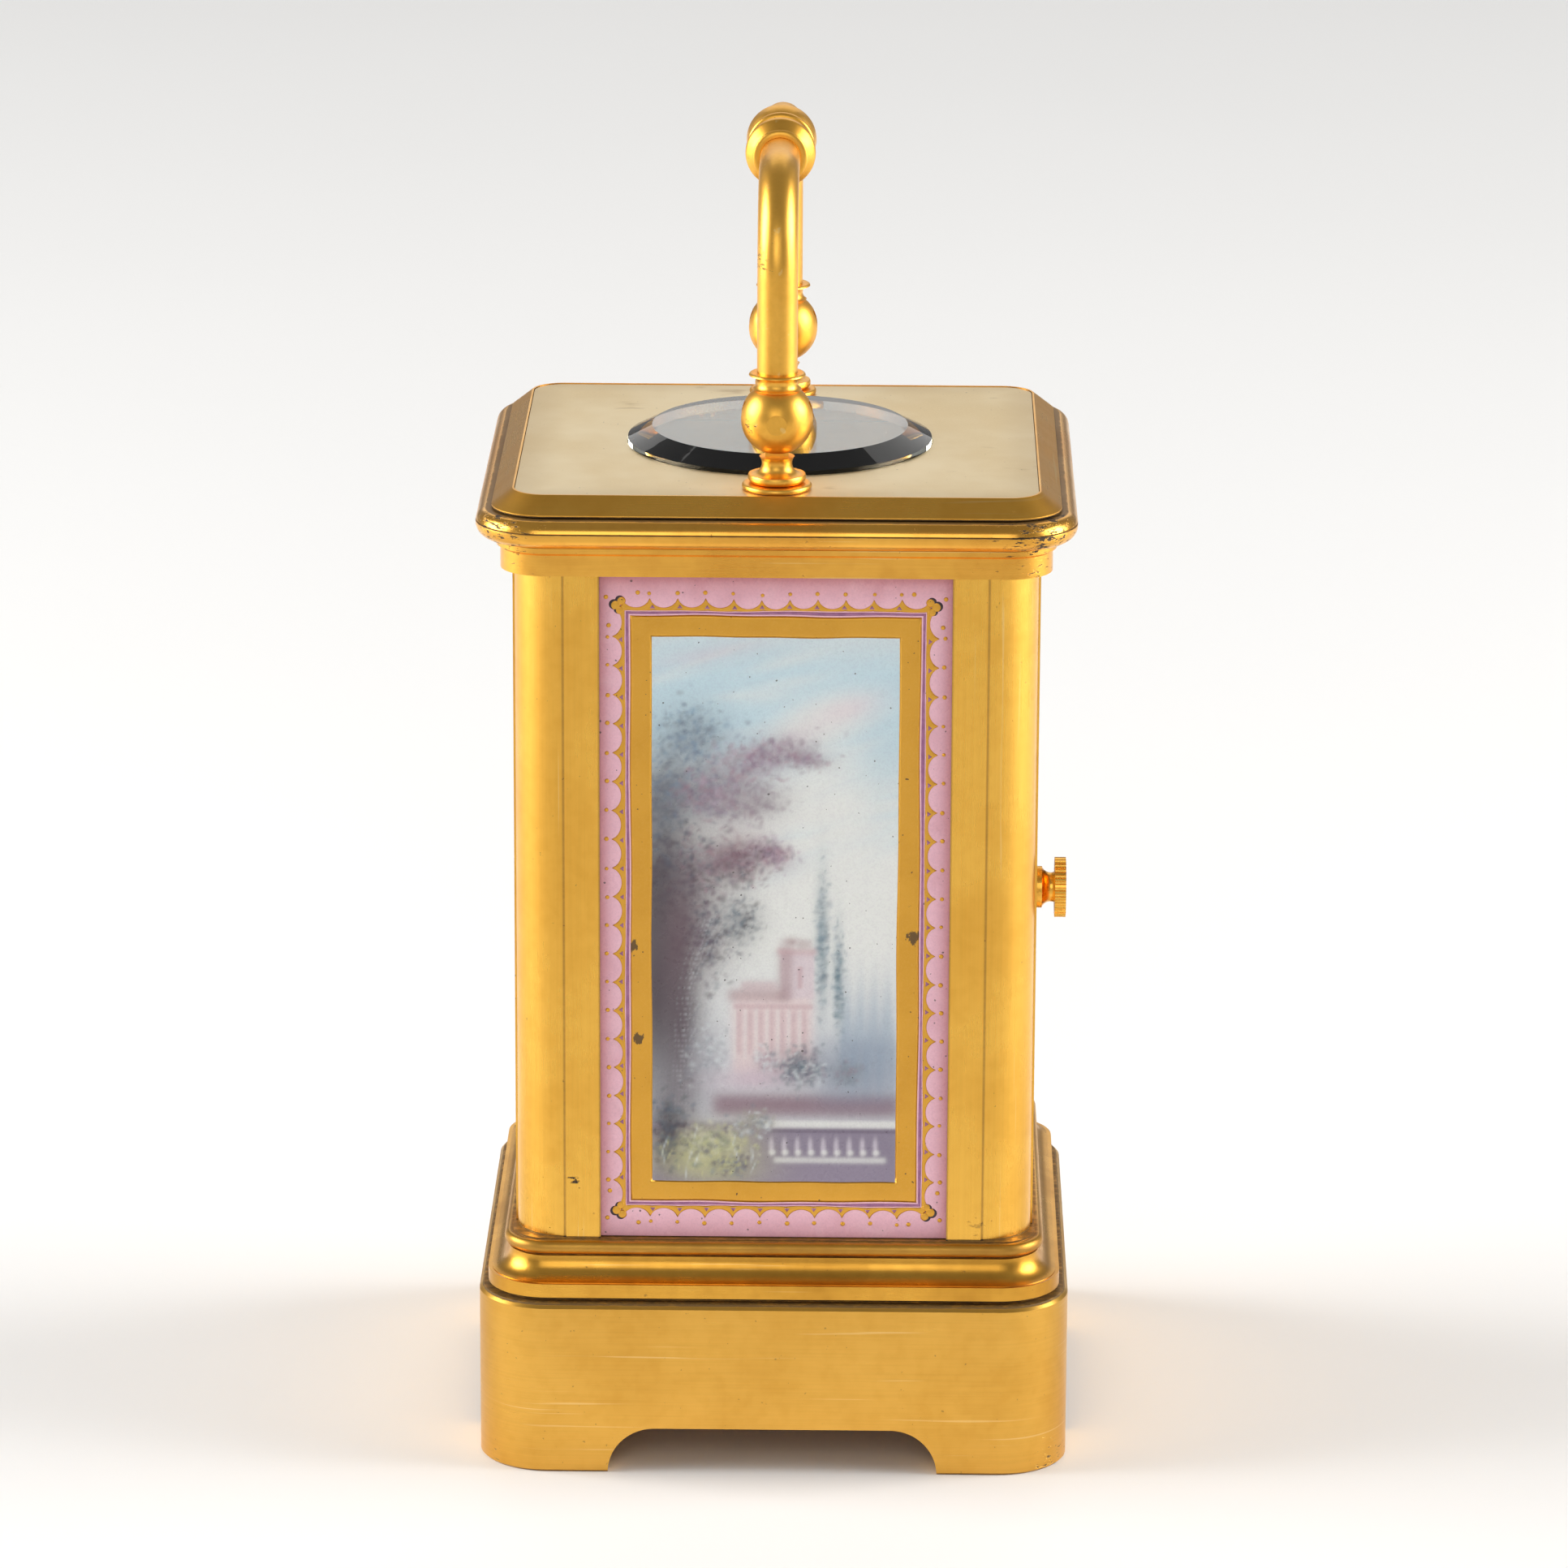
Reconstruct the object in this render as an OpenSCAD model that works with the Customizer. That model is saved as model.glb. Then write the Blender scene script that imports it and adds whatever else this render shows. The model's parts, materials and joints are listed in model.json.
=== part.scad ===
// Miniature carriage clock: brass case with porcelain sides, lifting handle, rear door and going movement.
// Millimetres. Origin on the floor under the middle of the plinth, +Z up. The dial faces -Y, the door +Y.

/* [Case] */
// Width of the plinth, across the dial
base_w = 44; // [38:0.5:53]
// Depth of the plinth, from dial to door
base_d = 46.6; // [39:0.2:56]
// Corner radius of the plinth
corner_r = 5.5; // [5:0.1:6]
// Height of the plinth
plinth_h = 14; // [11:0.5:17]
// Wall thickness of the plinth
plinth_wall = 3; // [2.5:0.1:4]
// Height of the arch between two feet
arch_h = 3.7; // [3:0.1:4.5]
// Length of a bracket foot
foot_l = 10.3; // [8:0.1:12]
// Height of the base moulding
moulding_h = 4.6; // [4.6:0.1:6]
// Height of the pillars
pillar_h = 54; // [45:0.5:65]
// Height of the cornice
cornice_h = 4.8; // [4.8:0.1:6]
// Height of the bevelled top frame
frame_h = 1.4; // [1.2:0.1:2]
// How far the pillars stand back from the face of the plinth
case_inset = 2.85; // [2.85:0.05:3.5]

/* [Pillars and panels] */
// Radius of the rounded corner of a pillar
pillar_r = 4; // [3.5:0.1:4.5]
// Width of the flat strip beside the rounded corner
strip_w = 2.7; // [2.3:0.1:3.2]
// How far a strip stands proud of the rounded corner
strip_proud = 0.15; // [0.1:0.05:0.3]
// Thickness of a porcelain side panel
panel_t = 1.5; // [1.2:0.1:1.8]
// Thickness of the front glass
front_glass_t = 1.8; // [1.4:0.1:2.1]
// Depth of the grooves that hold the panels
groove_depth = 0.9; // [0.6:0.1:1.2]
// Thickness of the lip in front of a panel
groove_lip = 0.4; // [0.3:0.1:0.6]
// Clearance round a panel in its grooves
panel_gap = 0.08; // [0.04:0.01:0.12]

/* [Top] */
// Radius of the round top glass
top_glass_r = 12; // [10:0.1:13]
// Height of the top glass above the top plate
top_glass_rise = 1.2; // [0.8:0.1:1.6]
// Width of the bevel of the top glass
top_bevel_w = 1.9; // [1.2:0.1:2.5]

/* [Handle] */
// Distance from the middle to a handle pivot
pivot_x = 16.1; // [15.2:0.1:16.4]
// Height of the pivots above the top plate
pivot_rise = 5.5; // [5.2:0.1:7]
// Radius of the ball ends of the handle
ball_r = 2.83; // [2.6:0.01:3]
// Radius of the handle's arms
arm_r = 1.56; // [1.4:0.01:1.7]
// Height of the grip above the pivots
grip_rise = 18; // [15:0.5:22]
// Bend radius between arm and grip
bend_r = 6.9; // [5.5:0.1:8]
// Thickness of the tongue between the cheeks of a ball
tongue_t = 1.1; // [0.9:0.1:1.3]
// Radius of the handle pins
handle_pin_r = 0.48; // [0.4:0.02:0.55]

/* [Rear door] */
// Thickness of the door
door_t = 2.1; // [1.8:0.1:2.4]
// Width of the door's frame
stile_w = 3.2; // [2.8:0.1:3.6]
// Gap round the closed door
door_gap = 0.12; // [0.1:0.01:0.2]
// Radius of the hinge pins
hinge_pin_r = 0.6; // [0.5:0.05:0.7]
// Radius of the knurled knob
knob_r = 2.37; // [2:0.01:2.6]
// Number of flutes on the knob
knob_flutes = 30; // [20:1:36]

/* [Movement] */
// Running clearance of shafts in their bores
run_gap = 0.03; // [0.02:0.01:0.05]
// Height of the dial centre above the middle of the pillars
dial_up = 1.4; // [0:0.1:3]
// Free space between the movement's plates and a side panel
side_gap = 2.75; // [2.75:0.05:4]
// Free space for the key between the squares and the door
key_space = 6.5; // [6:0.1:9]

/* [Hidden] */
$fn = 96;
cut = 1; // how far a cutting solid runs past the face it cuts

// Heights of the case
moulding_z = plinth_h;
case_z = moulding_z + moulding_h;
cornice_z = case_z + pillar_h;
frame_z = cornice_z + cornice_h;
plate_top_z = frame_z + frame_h;
pivot_z = plate_top_z + pivot_rise;

// Plan of the case
case_x = base_w / 2 - case_inset;
case_y = base_d / 2 - case_inset;
pillar_cx = case_x - strip_proud - pillar_r;
pillar_cy = case_y - strip_proud - pillar_r;
door_half_w = pillar_cx - strip_w - door_gap;
panel_out_x = case_x - groove_lip;
panel_in_x = panel_out_x - panel_t;
glass_out_y = case_y - groove_lip;
glass_in_y = glass_out_y - front_glass_t;
top_inset = 3.1;   // top plate behind the face of the plinth
top_seam = 0.05;    // seam round the top plate
case_screw_r = 0.8;
case_screw_at = 0.9; // screw outwards of the pillar's corner centre, along x and y
cornice_open_x = top_glass_r + 1.3;
cornice_open_y = case_y - 4;

// Rear door
door_out_y = case_y - 0.05;
door_in_y = door_out_y - door_t;
hinge_x = -(door_half_w - door_t / 2);
hinge_y = door_out_y - door_t / 2;
door_z0 = case_z + 0.25;
door_z1 = cornice_z - 0.25;
knob_x = door_half_w - stile_w / 2;
knob_z = case_z + pillar_h / 2 - 0.4;
knob_shaft_r = 0.7;
catch_reach = door_half_w + door_gap + 0.9 - knob_x;

// The movement is drawn about the dial centre, with y counted from the inner face of the front glass,
// at a width of movement_w, and is then scaled to the room that the case leaves.
movement_w = 29;
movement_l = 30;
movement_down = 23.4;
movement_up = 22;
foot_min = 4.6;
top_room = 1;
dial_z = case_z + pillar_h / 2 + dial_up;
movement_scale = min((2 * panel_in_x - 2 * side_gap) / movement_w,
    (glass_in_y + door_in_y - key_space) / movement_l,
    (dial_z - case_z - foot_min) / movement_down,
    (cornice_z - dial_z - top_room) / movement_up);

// Stations along y in the movement
dial_y0 = 2.8;
dial_y1 = 4;
backing_y1 = 4.6;
front_plate_y0 = 8.5;
front_plate_y1 = 9.9;
back_plate_y0 = 23.5;
back_plate_y1 = 24.9;
plate_top = 15.2;
plate_half_w = movement_w / 2;

// Going train: tooth counts, modules and centres
barrel_teeth = 80;
centre_leaves = 10;
centre_teeth = 80;
third_leaves = 8;
third_teeth = 60;
contrate_leaves = 8;
contrate_teeth = 64;
escape_leaves = 8;
barrel_m = 0.26;
train_m = 0.2;
third_angle = 100;
contrate_angle = 5;
barrel_at = [0, -barrel_m * (barrel_teeth + centre_leaves) / 2];
third_at = polar(train_m * (centre_teeth + third_leaves) / 2, third_angle);
contrate_at = third_at + polar(train_m * (third_teeth + contrate_leaves) / 2, contrate_angle);
crown_r = 5;
crown_w = 0.7;
crown_tip_y = 19.9;
escape_m = 2 * crown_r / contrate_teeth;
escape_at = [contrate_at[0], crown_tip_y - escape_m + escape_m * escape_leaves / 2];
arbor_r = 0.42;
pivot_r = 0.3;
centre_arbor_r = 0.55;

// Motion work
cannon_leaves = 12;
minute_teeth = 36;
minute_leaves = 10;
hour_teeth = 40;
motion_distance = 4.8;
cannon_m = 2 * motion_distance / (cannon_leaves + minute_teeth);
hour_m = 2 * motion_distance / (minute_leaves + hour_teeth);
minute_angle = 225;
minute_at = polar(motion_distance, minute_angle);
cannon_pipe_r = 0.9;
hour_pipe_r = 1.4;
hour_shown = 10;
minute_shown = 9;

// Platform escapement, heights above the dial centre
platform_z = plate_top;
platform_t = 1.3;
platform_top = platform_z + platform_t;
escape_line = 200; // direction from escape wheel to balance
lever_at = escape_at + polar(3.7, escape_line);
balance_at = escape_at + polar(8.4, escape_line);
balance_r = 4.8;
staff_r = 0.22;
escape_z = platform_top + 0.5;
bridge_z = platform_top + 1.5;
balance_z = platform_top + 2.5;
hairspring_z = platform_top + 3.3;
cock_z = platform_top + 4.1;
cock_t = 0.7;
index_z = cock_z + cock_t;

// Ratchet
ratchet_teeth = 24;
ratchet_r = 3.6;
ratchet_root_r = 3.1;
ratchet_phase = 50;
click_at = barrel_at + polar(6.2, 15);

plate_pillars = [[12.5, 12], [-12.5, 12], [12.5, -21], [-12.5, -21]];
dial_feet = [[9, 10.5], [-9, 10.5], [11.5, -4], [-11.5, -4]];

// ---------- helpers ----------

function polar(r, a) = [r * cos(a), r * sin(a)];

// Outline of a wheel with n teeth of module m. Each tooth is a list of [height over the pitch circle,
// half width as a share of the half width at the pitch circle].
function gear_outline(n, m, thick, tooth) = [for (i = [0 : n - 1]) for (q = tooth)
    polar(m * (n / 2 + q[0]), (i + q[1] * thick / 2) * 360 / n)];
wheel_tooth = [[-1.3, -1.15], [0, -1], [0.55, -0.8], [1, -0.3],
    [1, 0.3], [0.55, 0.8], [0, 1], [-1.3, 1.15]];
pinion_leaf = [[-1.35, -0.75], [0, -1], [0.4, -0.8], [0.65, -0.3],
    [0.65, 0.3], [0.4, 0.8], [0, 1], [-1.35, 0.75]];
wheel_thick = 0.45;
leaf_thick = 0.38;

module wheel_disc(n, m) {
    polygon(gear_outline(n, m, wheel_thick, wheel_tooth));
}

module pinion_disc(n, m) {
    polygon(gear_outline(n, m, leaf_thick, pinion_leaf));
}

// Windows that leave straight spokes between a hub and a rim
module crossings(hub_r, rim_r, spokes, spoke_w) {
    difference() {
        circle(rim_r);
        circle(hub_r);
        for (i = [0 : spokes - 1]) rotate(i * 360 / spokes) translate([0, -spoke_w / 2])
            square([rim_r + cut, spoke_w]);
    }
}

module at_corners(x, y) {
    for (sx = [-1, 1]) for (sy = [-1, 1]) translate([sx * x, sy * y, 0]) children();
}

// A flat shape in the xz plane, made solid from y0 to y1
module along_y(y0, y1) {
    translate([0, y1, 0]) rotate([90, 0, 0]) linear_extrude(y1 - y0) children();
}

module rod_y(at, r, y0, y1) {
    translate([at[0], y1, at[1]]) rotate([90, 0, 0]) cylinder(r = r, h = y1 - y0);
}

module rod_z(at, r, z0, z1) {
    translate([at[0], at[1], z0]) cylinder(r = r, h = z1 - z0);
}

module rod_x(at, r, x0, x1) {
    translate([x0, at[0], at[1]]) rotate([0, 90, 0]) cylinder(r = r, h = x1 - x0);
}

module round_rect(half_x, half_y, r) {
    square([2 * (half_x - r), 2 * half_y], center = true);
    square([2 * half_x, 2 * (half_y - r)], center = true);
    at_corners(half_x - r, half_y - r) circle(r);
}

module round_slab(half_x, half_y, r, z0, z1) {
    translate([0, 0, z0]) linear_extrude(z1 - z0) round_rect(half_x, half_y, r);
}

// Carries an outline round the rectangle of the case. The outline's faces are counted from `reach`.
module moulded(kind) {
    at_corners(base_w / 2 - corner_r, base_d / 2 - corner_r) rotate_extrude() outline(kind, corner_r);
    rotate([90, 0, 0]) linear_extrude(base_d - 2 * corner_r, center = true) both_sides()
        outline(kind, base_w / 2);
    rotate([90, 0, 90]) linear_extrude(base_w - 2 * corner_r, center = true) both_sides()
        outline(kind, base_d / 2);
}

module both_sides() {
    children();
    mirror([1, 0]) children();
}

module outline(kind, reach) {
    if (kind == "plinth") plinth_outline(reach);
    if (kind == "moulding") moulding_outline(reach);
    if (kind == "cornice") cornice_outline(reach);
    if (kind == "frame") frame_outline(reach);
}

module plinth_outline(reach) {
    edge = 0.35;
    polygon([[0, 0], [reach - edge / 2, 0], [reach, edge / 2], [reach, plinth_h - edge],
        [reach - edge, plinth_h], [0, plinth_h]]);
}

module moulding_outline(reach) {
    fillet_h = 1.45;
    hollow_r = moulding_h - 2.8;
    roll_r = 0.55;
    difference() {
        union() {
            square([reach - 1.3, moulding_h]);
            translate([0, 0.35]) square([reach - 0.7, fillet_h - 0.35]);
            translate([0, fillet_h]) square([reach - 1, hollow_r]);
        }
        translate([reach - 0.6, fillet_h + hollow_r]) circle(hollow_r);
        translate([reach - 2.7, fillet_h + hollow_r]) square([3, moulding_h]);
    }
    translate([reach - 2 - roll_r, moulding_h - 0.1 - roll_r]) circle(roll_r);
}

module cornice_outline(reach) {
    hollow_r = 1.9;
    torus_r = 1.1;
    torus_z = cornice_h - 0.15 - torus_r;
    groove = 0.1;
    difference() {
        union() {
            square([reach - 2.7, cornice_h]);
            square([reach - 1.7, torus_z - torus_r - 0.2]);
        }
        translate([reach - 0.75, 0.2]) circle(hollow_r);
        translate([reach - 2.65, -cut]) square([2, cut + 0.2]);
    }
    difference() {
        union() {
            translate([reach - torus_r - 0.1, torus_z]) circle(torus_r);
            translate([0, torus_z - torus_r]) square([reach - torus_r - 0.1, 2 * torus_r]);
        }
        translate([reach - 0.1 - groove, torus_z + 0.15]) square([1, groove]);
    }
    square([reach - 2, cornice_h]);
}

module frame_outline(reach) {
    edge = 0.15;
    polygon([[0, 0], [reach - 1.35, 0], [reach - 1.35, edge], [reach - top_inset + edge, frame_h],
        [0, frame_h]]);
}

module at_movement() {
    translate([0, -glass_in_y, dial_z]) scale(movement_scale) children();
}

// ---------- case ----------

module arch(length) {
    r = arch_h;
    translate([-(length / 2 - r), -cut]) square([length - 2 * r, arch_h + cut]);
    translate([-(length / 2), -cut]) square([length, cut]);
    intersection() {
        union() {
            translate([length / 2 - r, 0]) circle(r);
            translate([-(length / 2 - r), 0]) circle(r);
        }
        translate([-length / 2, 0]) square([length, arch_h]);
    }
}

module plinth() {
    color("goldenrod") difference() {
        moulded("plinth");
        round_slab(base_w / 2 - plinth_wall, base_d / 2 - plinth_wall, corner_r - plinth_wall,
            -cut, plinth_h + cut);
        along_y(-base_d, base_d) arch(base_w - 2 * foot_l);
        rotate([0, 0, 90]) along_y(-base_w, base_w) arch(base_d - 2 * foot_l);
    }
}

pocket_inset = 8.5;   // pocket under the base moulding, behind the face of the plinth
pocket_h = 2.4;
pillar_screw_x = pillar_cx + case_screw_at;
pillar_screw_y = pillar_cy + case_screw_at;
movement_screw_y = -glass_in_y + movement_scale * (front_plate_y1 + back_plate_y0) / 2;
movement_screw_x = 9;
movement_screw_r = 0.9;

module base_moulding() {
    color("gold") difference() {
        translate([0, 0, moulding_z]) moulded("moulding");
        round_slab(base_w / 2 - pocket_inset, base_d / 2 - pocket_inset, 1,
            moulding_z - cut, moulding_z + pocket_h);
        at_corners(pillar_screw_x, pillar_screw_y)
            rod_z([0, 0], case_screw_r + run_gap, moulding_z - cut, case_z + cut);
        for (s = [-1, 1]) rod_z([s * movement_screw_x, movement_screw_y], movement_screw_r + run_gap,
            moulding_z, case_z + cut);
        rod_z([hinge_x, hinge_y], hinge_pin_r + run_gap, case_z - 1.6, case_z + cut);
    }
}

// Plan of the pillar in the corner of positive x and y. The groove in the y face is `front_groove` wide.
module pillar_plan(front_groove) {
    difference() {
        union() {
            intersection() {
                translate([pillar_cx, pillar_cy]) circle(pillar_r);
                translate([pillar_cx, pillar_cy]) square(pillar_r + cut);
            }
            translate([pillar_cx, pillar_cy - strip_w]) square([case_x - pillar_cx, strip_w]);
            translate([pillar_cx - strip_w, pillar_cy]) square([strip_w, case_y - pillar_cy]);
        }
        translate([panel_in_x - panel_gap, pillar_cy - strip_w - cut])
            square([panel_t + 2 * panel_gap, groove_depth + cut]);
        if (front_groove > 0) translate([pillar_cx - strip_w - cut, glass_in_y - panel_gap])
            square([groove_depth + cut, front_groove + 2 * panel_gap]);
    }
}

module pillar(sx, sy, front_groove) {
    screw_depth = 5;
    color("goldenrod") mirrored_to(sx, sy) difference() {
        translate([0, 0, case_z]) linear_extrude(pillar_h) pillar_plan(front_groove);
        rod_z([pillar_screw_x, pillar_screw_y], case_screw_r, case_z - cut, case_z + screw_depth);
        rod_z([pillar_screw_x, pillar_screw_y], case_screw_r, cornice_z - screw_depth, cornice_z + cut);
        children();
    }
}

module mirrored_to(sx, sy) {
    mirror([sx < 0 ? 1 : 0, 0, 0]) mirror([0, sy < 0 ? 1 : 0, 0]) children();
}

module pillar_front_right() {
    pillar(1, -1, front_glass_t);
}

module pillar_front_left() {
    pillar(-1, -1, front_glass_t);
}

// The pocket takes the tongue of the door catch
module pillar_rear_right() {
    pillar(1, 1, 0) translate([pillar_cx - strip_w - cut, door_in_y - 1.2, knob_z - 1])
        cube([cut + 1.1, 1.3, catch_reach + 0.9]);
}

module pillar_rear_left() {
    pillar(-1, 1, 0);
}

nut_r = 1.8;
nut_h = 1;
stud_r = 0.9;

module cornice() {
    color("gold") difference() {
        translate([0, 0, cornice_z]) moulded("cornice");
        translate([0, 0, cornice_z + cornice_h / 2])
            cube([2 * cornice_open_x, 2 * cornice_open_y, cornice_h + 2 * cut], center = true);
        at_corners(pillar_screw_x, pillar_screw_y) {
            rod_z([0, 0], case_screw_r + run_gap, cornice_z - cut, frame_z + cut);
            rod_z([0, 0], 1.4 + run_gap, frame_z - 1, frame_z + cut);
        }
        for (s = [-1, 1]) {
            rod_z([s * pivot_x, 0], stud_r + run_gap, cornice_z - cut, frame_z + cut);
            rod_z([s * pivot_x, 0], nut_r + 0.3, cornice_z - cut, cornice_z + nut_h + 0.3);
        }
        rod_z([hinge_x, hinge_y], hinge_pin_r + run_gap, cornice_z - cut, cornice_z + 1.6);
    }
}

module top_frame() {
    color("darkgoldenrod") difference() {
        translate([0, 0, frame_z]) moulded("frame");
        round_slab(base_w / 2 - top_inset, base_d / 2 - top_inset, corner_r - top_inset,
            frame_z - cut, plate_top_z + cut);
    }
}

module top_plate() {
    color("tan") difference() {
        round_slab(base_w / 2 - top_inset - top_seam, base_d / 2 - top_inset - top_seam,
            corner_r - top_inset - top_seam, frame_z, plate_top_z - 0.06);
        rod_z([0, 0], top_glass_r + panel_gap, frame_z - cut, plate_top_z + cut);
        for (s = [-1, 1]) rod_z([s * pivot_x, 0], stud_r + run_gap, frame_z - cut, plate_top_z + cut);
    }
}

module top_glass() {
    z1 = plate_top_z + top_glass_rise;
    color("lightslategray", 0.5) rotate_extrude() polygon([[0, frame_z], [top_glass_r, frame_z],
        [top_glass_r, plate_top_z + 0.25], [top_glass_r - top_bevel_w, z1], [0, z1]]);
}

// Ring under the top plate that holds the glass, with the heads of its three screws
module top_glass_ring() {
    ring_out = top_glass_r + 1;
    ring_in = top_glass_r - 1.2;
    color("goldenrod") {
        difference() {
            rod_z([0, 0], ring_out, frame_z - 0.8, frame_z);
            rod_z([0, 0], ring_in, frame_z - cut - 0.8, frame_z + cut);
        }
        for (i = [0 : 2]) rotate(i * 120 + 90) rod_z([top_glass_r, 0], 0.7, frame_z - 1.3, frame_z - 0.7);
    }
}

module side_panel(side) {
    half_y = pillar_cy - strip_w + groove_depth - panel_gap;
    color("pink") mirrored_to(side, 1) translate([panel_in_x, -half_y, case_z + panel_gap])
        cube([panel_t, 2 * half_y, pillar_h - 2 * panel_gap]);
}

module side_panel_right() {
    side_panel(1);
}

module side_panel_left() {
    side_panel(-1);
}

// A pane across y with its outer edges bevelled, centred on x = 0, from y0 to y1, z0 to z1. `out` is the
// side of the bevel, -1 for a bevel at y0 and 1 for a bevel at y1.
module bevelled_pane(half_x, y0, y1, z0, z1, bevel_w, bevel_d, out) {
    yb = out < 0 ? y0 + bevel_d : y1 - bevel_d;
    ye = out < 0 ? y0 : y1;
    yi = out < 0 ? y1 : y0;
    intersection() {
        translate([0, 0, z0]) linear_extrude(z1 - z0) polygon([[-half_x, yi], [-half_x, yb],
            [-half_x + bevel_w, ye], [half_x - bevel_w, ye], [half_x, yb], [half_x, yi]]);
        rotate([90, 0, 90]) linear_extrude(4 * half_x, center = true) polygon([[yi, z0], [yb, z0],
            [ye, z0 + bevel_w], [ye, z1 - bevel_w], [yb, z1], [yi, z1]]);
    }
}

module front_glass() {
    half_x = pillar_cx - strip_w + groove_depth - panel_gap;
    color("lightslategray", 0.4) bevelled_pane(half_x, -glass_out_y, -glass_in_y, case_z + panel_gap,
        cornice_z - panel_gap, 3.2, 0.7, -1);
}

module case_screws() {
    head_r = 1.4;
    head_h = 0.9;
    screw_in = 4.6;
    color("dimgray") {
        at_corners(pillar_screw_x, pillar_screw_y) difference() {
            union() {
                rod_z([0, 0], case_screw_r, moulding_z - head_h / 2, case_z + screw_in);
                rod_z([0, 0], head_r, moulding_z - head_h, moulding_z);
            }
            translate([0, 0, moulding_z - head_h]) cube([4, 0.4, 0.8], center = true);
        }
        at_corners(pillar_screw_x, pillar_screw_y) difference() {
            union() {
                rod_z([0, 0], case_screw_r, cornice_z - screw_in, frame_z - head_h / 2);
                rod_z([0, 0], head_r, frame_z - 1, frame_z - 1 + head_h);
            }
            translate([0, 0, frame_z - 1 + head_h]) cube([4, 0.4, 0.8], center = true);
        }
    }
}

// ---------- dial and hands ----------

// A shape in the movement's own frame, held between the case's own heights and widths
dial_half_x = pillar_cx - 0.3;
dial_z0 = case_z + 0.3;
dial_z1 = cornice_z - 0.3;

module dial_sheet(y0, y1, hole_r) {
    y_front = -glass_in_y + movement_scale * y0;
    y_back = -glass_in_y + movement_scale * y1;
    difference() {
        translate([-dial_half_x, y_front, dial_z0])
            cube([2 * dial_half_x, y_back - y_front, dial_z1 - dial_z0]);
        at_movement() rod_y([0, 0], hole_r, y0 - cut, y1 + cut);
    }
}

module dial_panel() {
    color("mistyrose") dial_sheet(dial_y0, dial_y1, hour_pipe_r + 0.35);
}

// Brass sheet behind the porcelain, with four feet that stand in the front plate
module dial_backing() {
    foot_r = 0.5;
    color("goldenrod") {
        dial_sheet(dial_y1, backing_y1, hour_pipe_r + 0.6);
        at_movement() for (at = dial_feet) rod_y(at, foot_r, backing_y1 - 0.2, front_plate_y0 + 1);
    }
}

module hand(length, ring_at, ring_r, width) {
    difference() {
        union() {
            polygon([[width / 2, 0], [width / 3, length * 0.8], [0, length], [-width / 3, length * 0.8],
                [-width / 2, 0]]);
            translate([0, ring_at]) circle(ring_r);
        }
        translate([0, ring_at]) circle(ring_r * 0.58);
    }
}

module hour_hand() {
    color("midnightblue") at_movement() along_y(1.45, 1.75) difference() {
        union() {
            rotate(-(hour_shown + minute_shown / 60) * 30) hand(5.4, 3.6, 0.75, 0.6);
            circle(hour_pipe_r + 0.5);
        }
        circle(hour_pipe_r);
    }
}

module minute_hand() {
    color("midnightblue") at_movement() along_y(0.75, 1.05) difference() {
        union() {
            rotate(-minute_shown * 6) hand(8.6, 6.3, 0.68, 0.5);
            circle(cannon_pipe_r + 0.45);
        }
        circle(cannon_pipe_r);
    }
}

module cannon_pinion() {
    color("silver") at_movement() difference() {
        union() {
            rod_y([0, 0], cannon_pipe_r, 0.7, 8.3);
            along_y(6, 7.3) rotate(minute_angle + 180 / cannon_leaves) pinion_disc(cannon_leaves, cannon_m);
        }
        rod_y([0, 0], centre_arbor_r, 0, 9);
    }
}

module minute_wheel() {
    color("gold") at_movement() difference() {
        translate([minute_at[0], 0, minute_at[1]]) {
            along_y(6.3, 7) rotate(minute_angle - 180) difference() {
                wheel_disc(minute_teeth, cannon_m);
                crossings(1.5, 2.8, 4, 0.5);
            }
            along_y(4.9, 6.4) rotate(minute_angle - 180 + 180 / minute_leaves)
                pinion_disc(minute_leaves, hour_m);
        }
        rod_y(minute_at, 0.4 + run_gap, 4, 8);
    }
}

module hour_wheel() {
    color("gold") at_movement() difference() {
        union() {
            along_y(5, 5.6) rotate(minute_angle) difference() {
                wheel_disc(hour_teeth, hour_m);
                crossings(1.9, 3.1, 4, 0.5);
            }
            rod_y([0, 0], hour_pipe_r, 1.4, 5.8);
        }
        rod_y([0, 0], cannon_pipe_r + run_gap, 0, 7);
    }
}

module centre_arbor() {
    square_w = 1.1;
    color("silver") at_movement() {
        difference() {
            rod_y([0, 0], centre_arbor_r, 0.7, 26);
            translate([0, 0.7, 0]) rotate([90, 0, 0]) cylinder(r = 0.2, h = 0.3, center = true);
        }
        rod_y([0, 0], cannon_pipe_r, 0.3, 0.7);
        rod_y([0, 0], 0.8, 25.1, 26.2);
        translate([-square_w / 2, 26, -square_w / 2]) cube([square_w, 3.6, square_w]);
    }
}

// ---------- handle ----------

post_top = pivot_rise - ball_r - 0.12;

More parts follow.
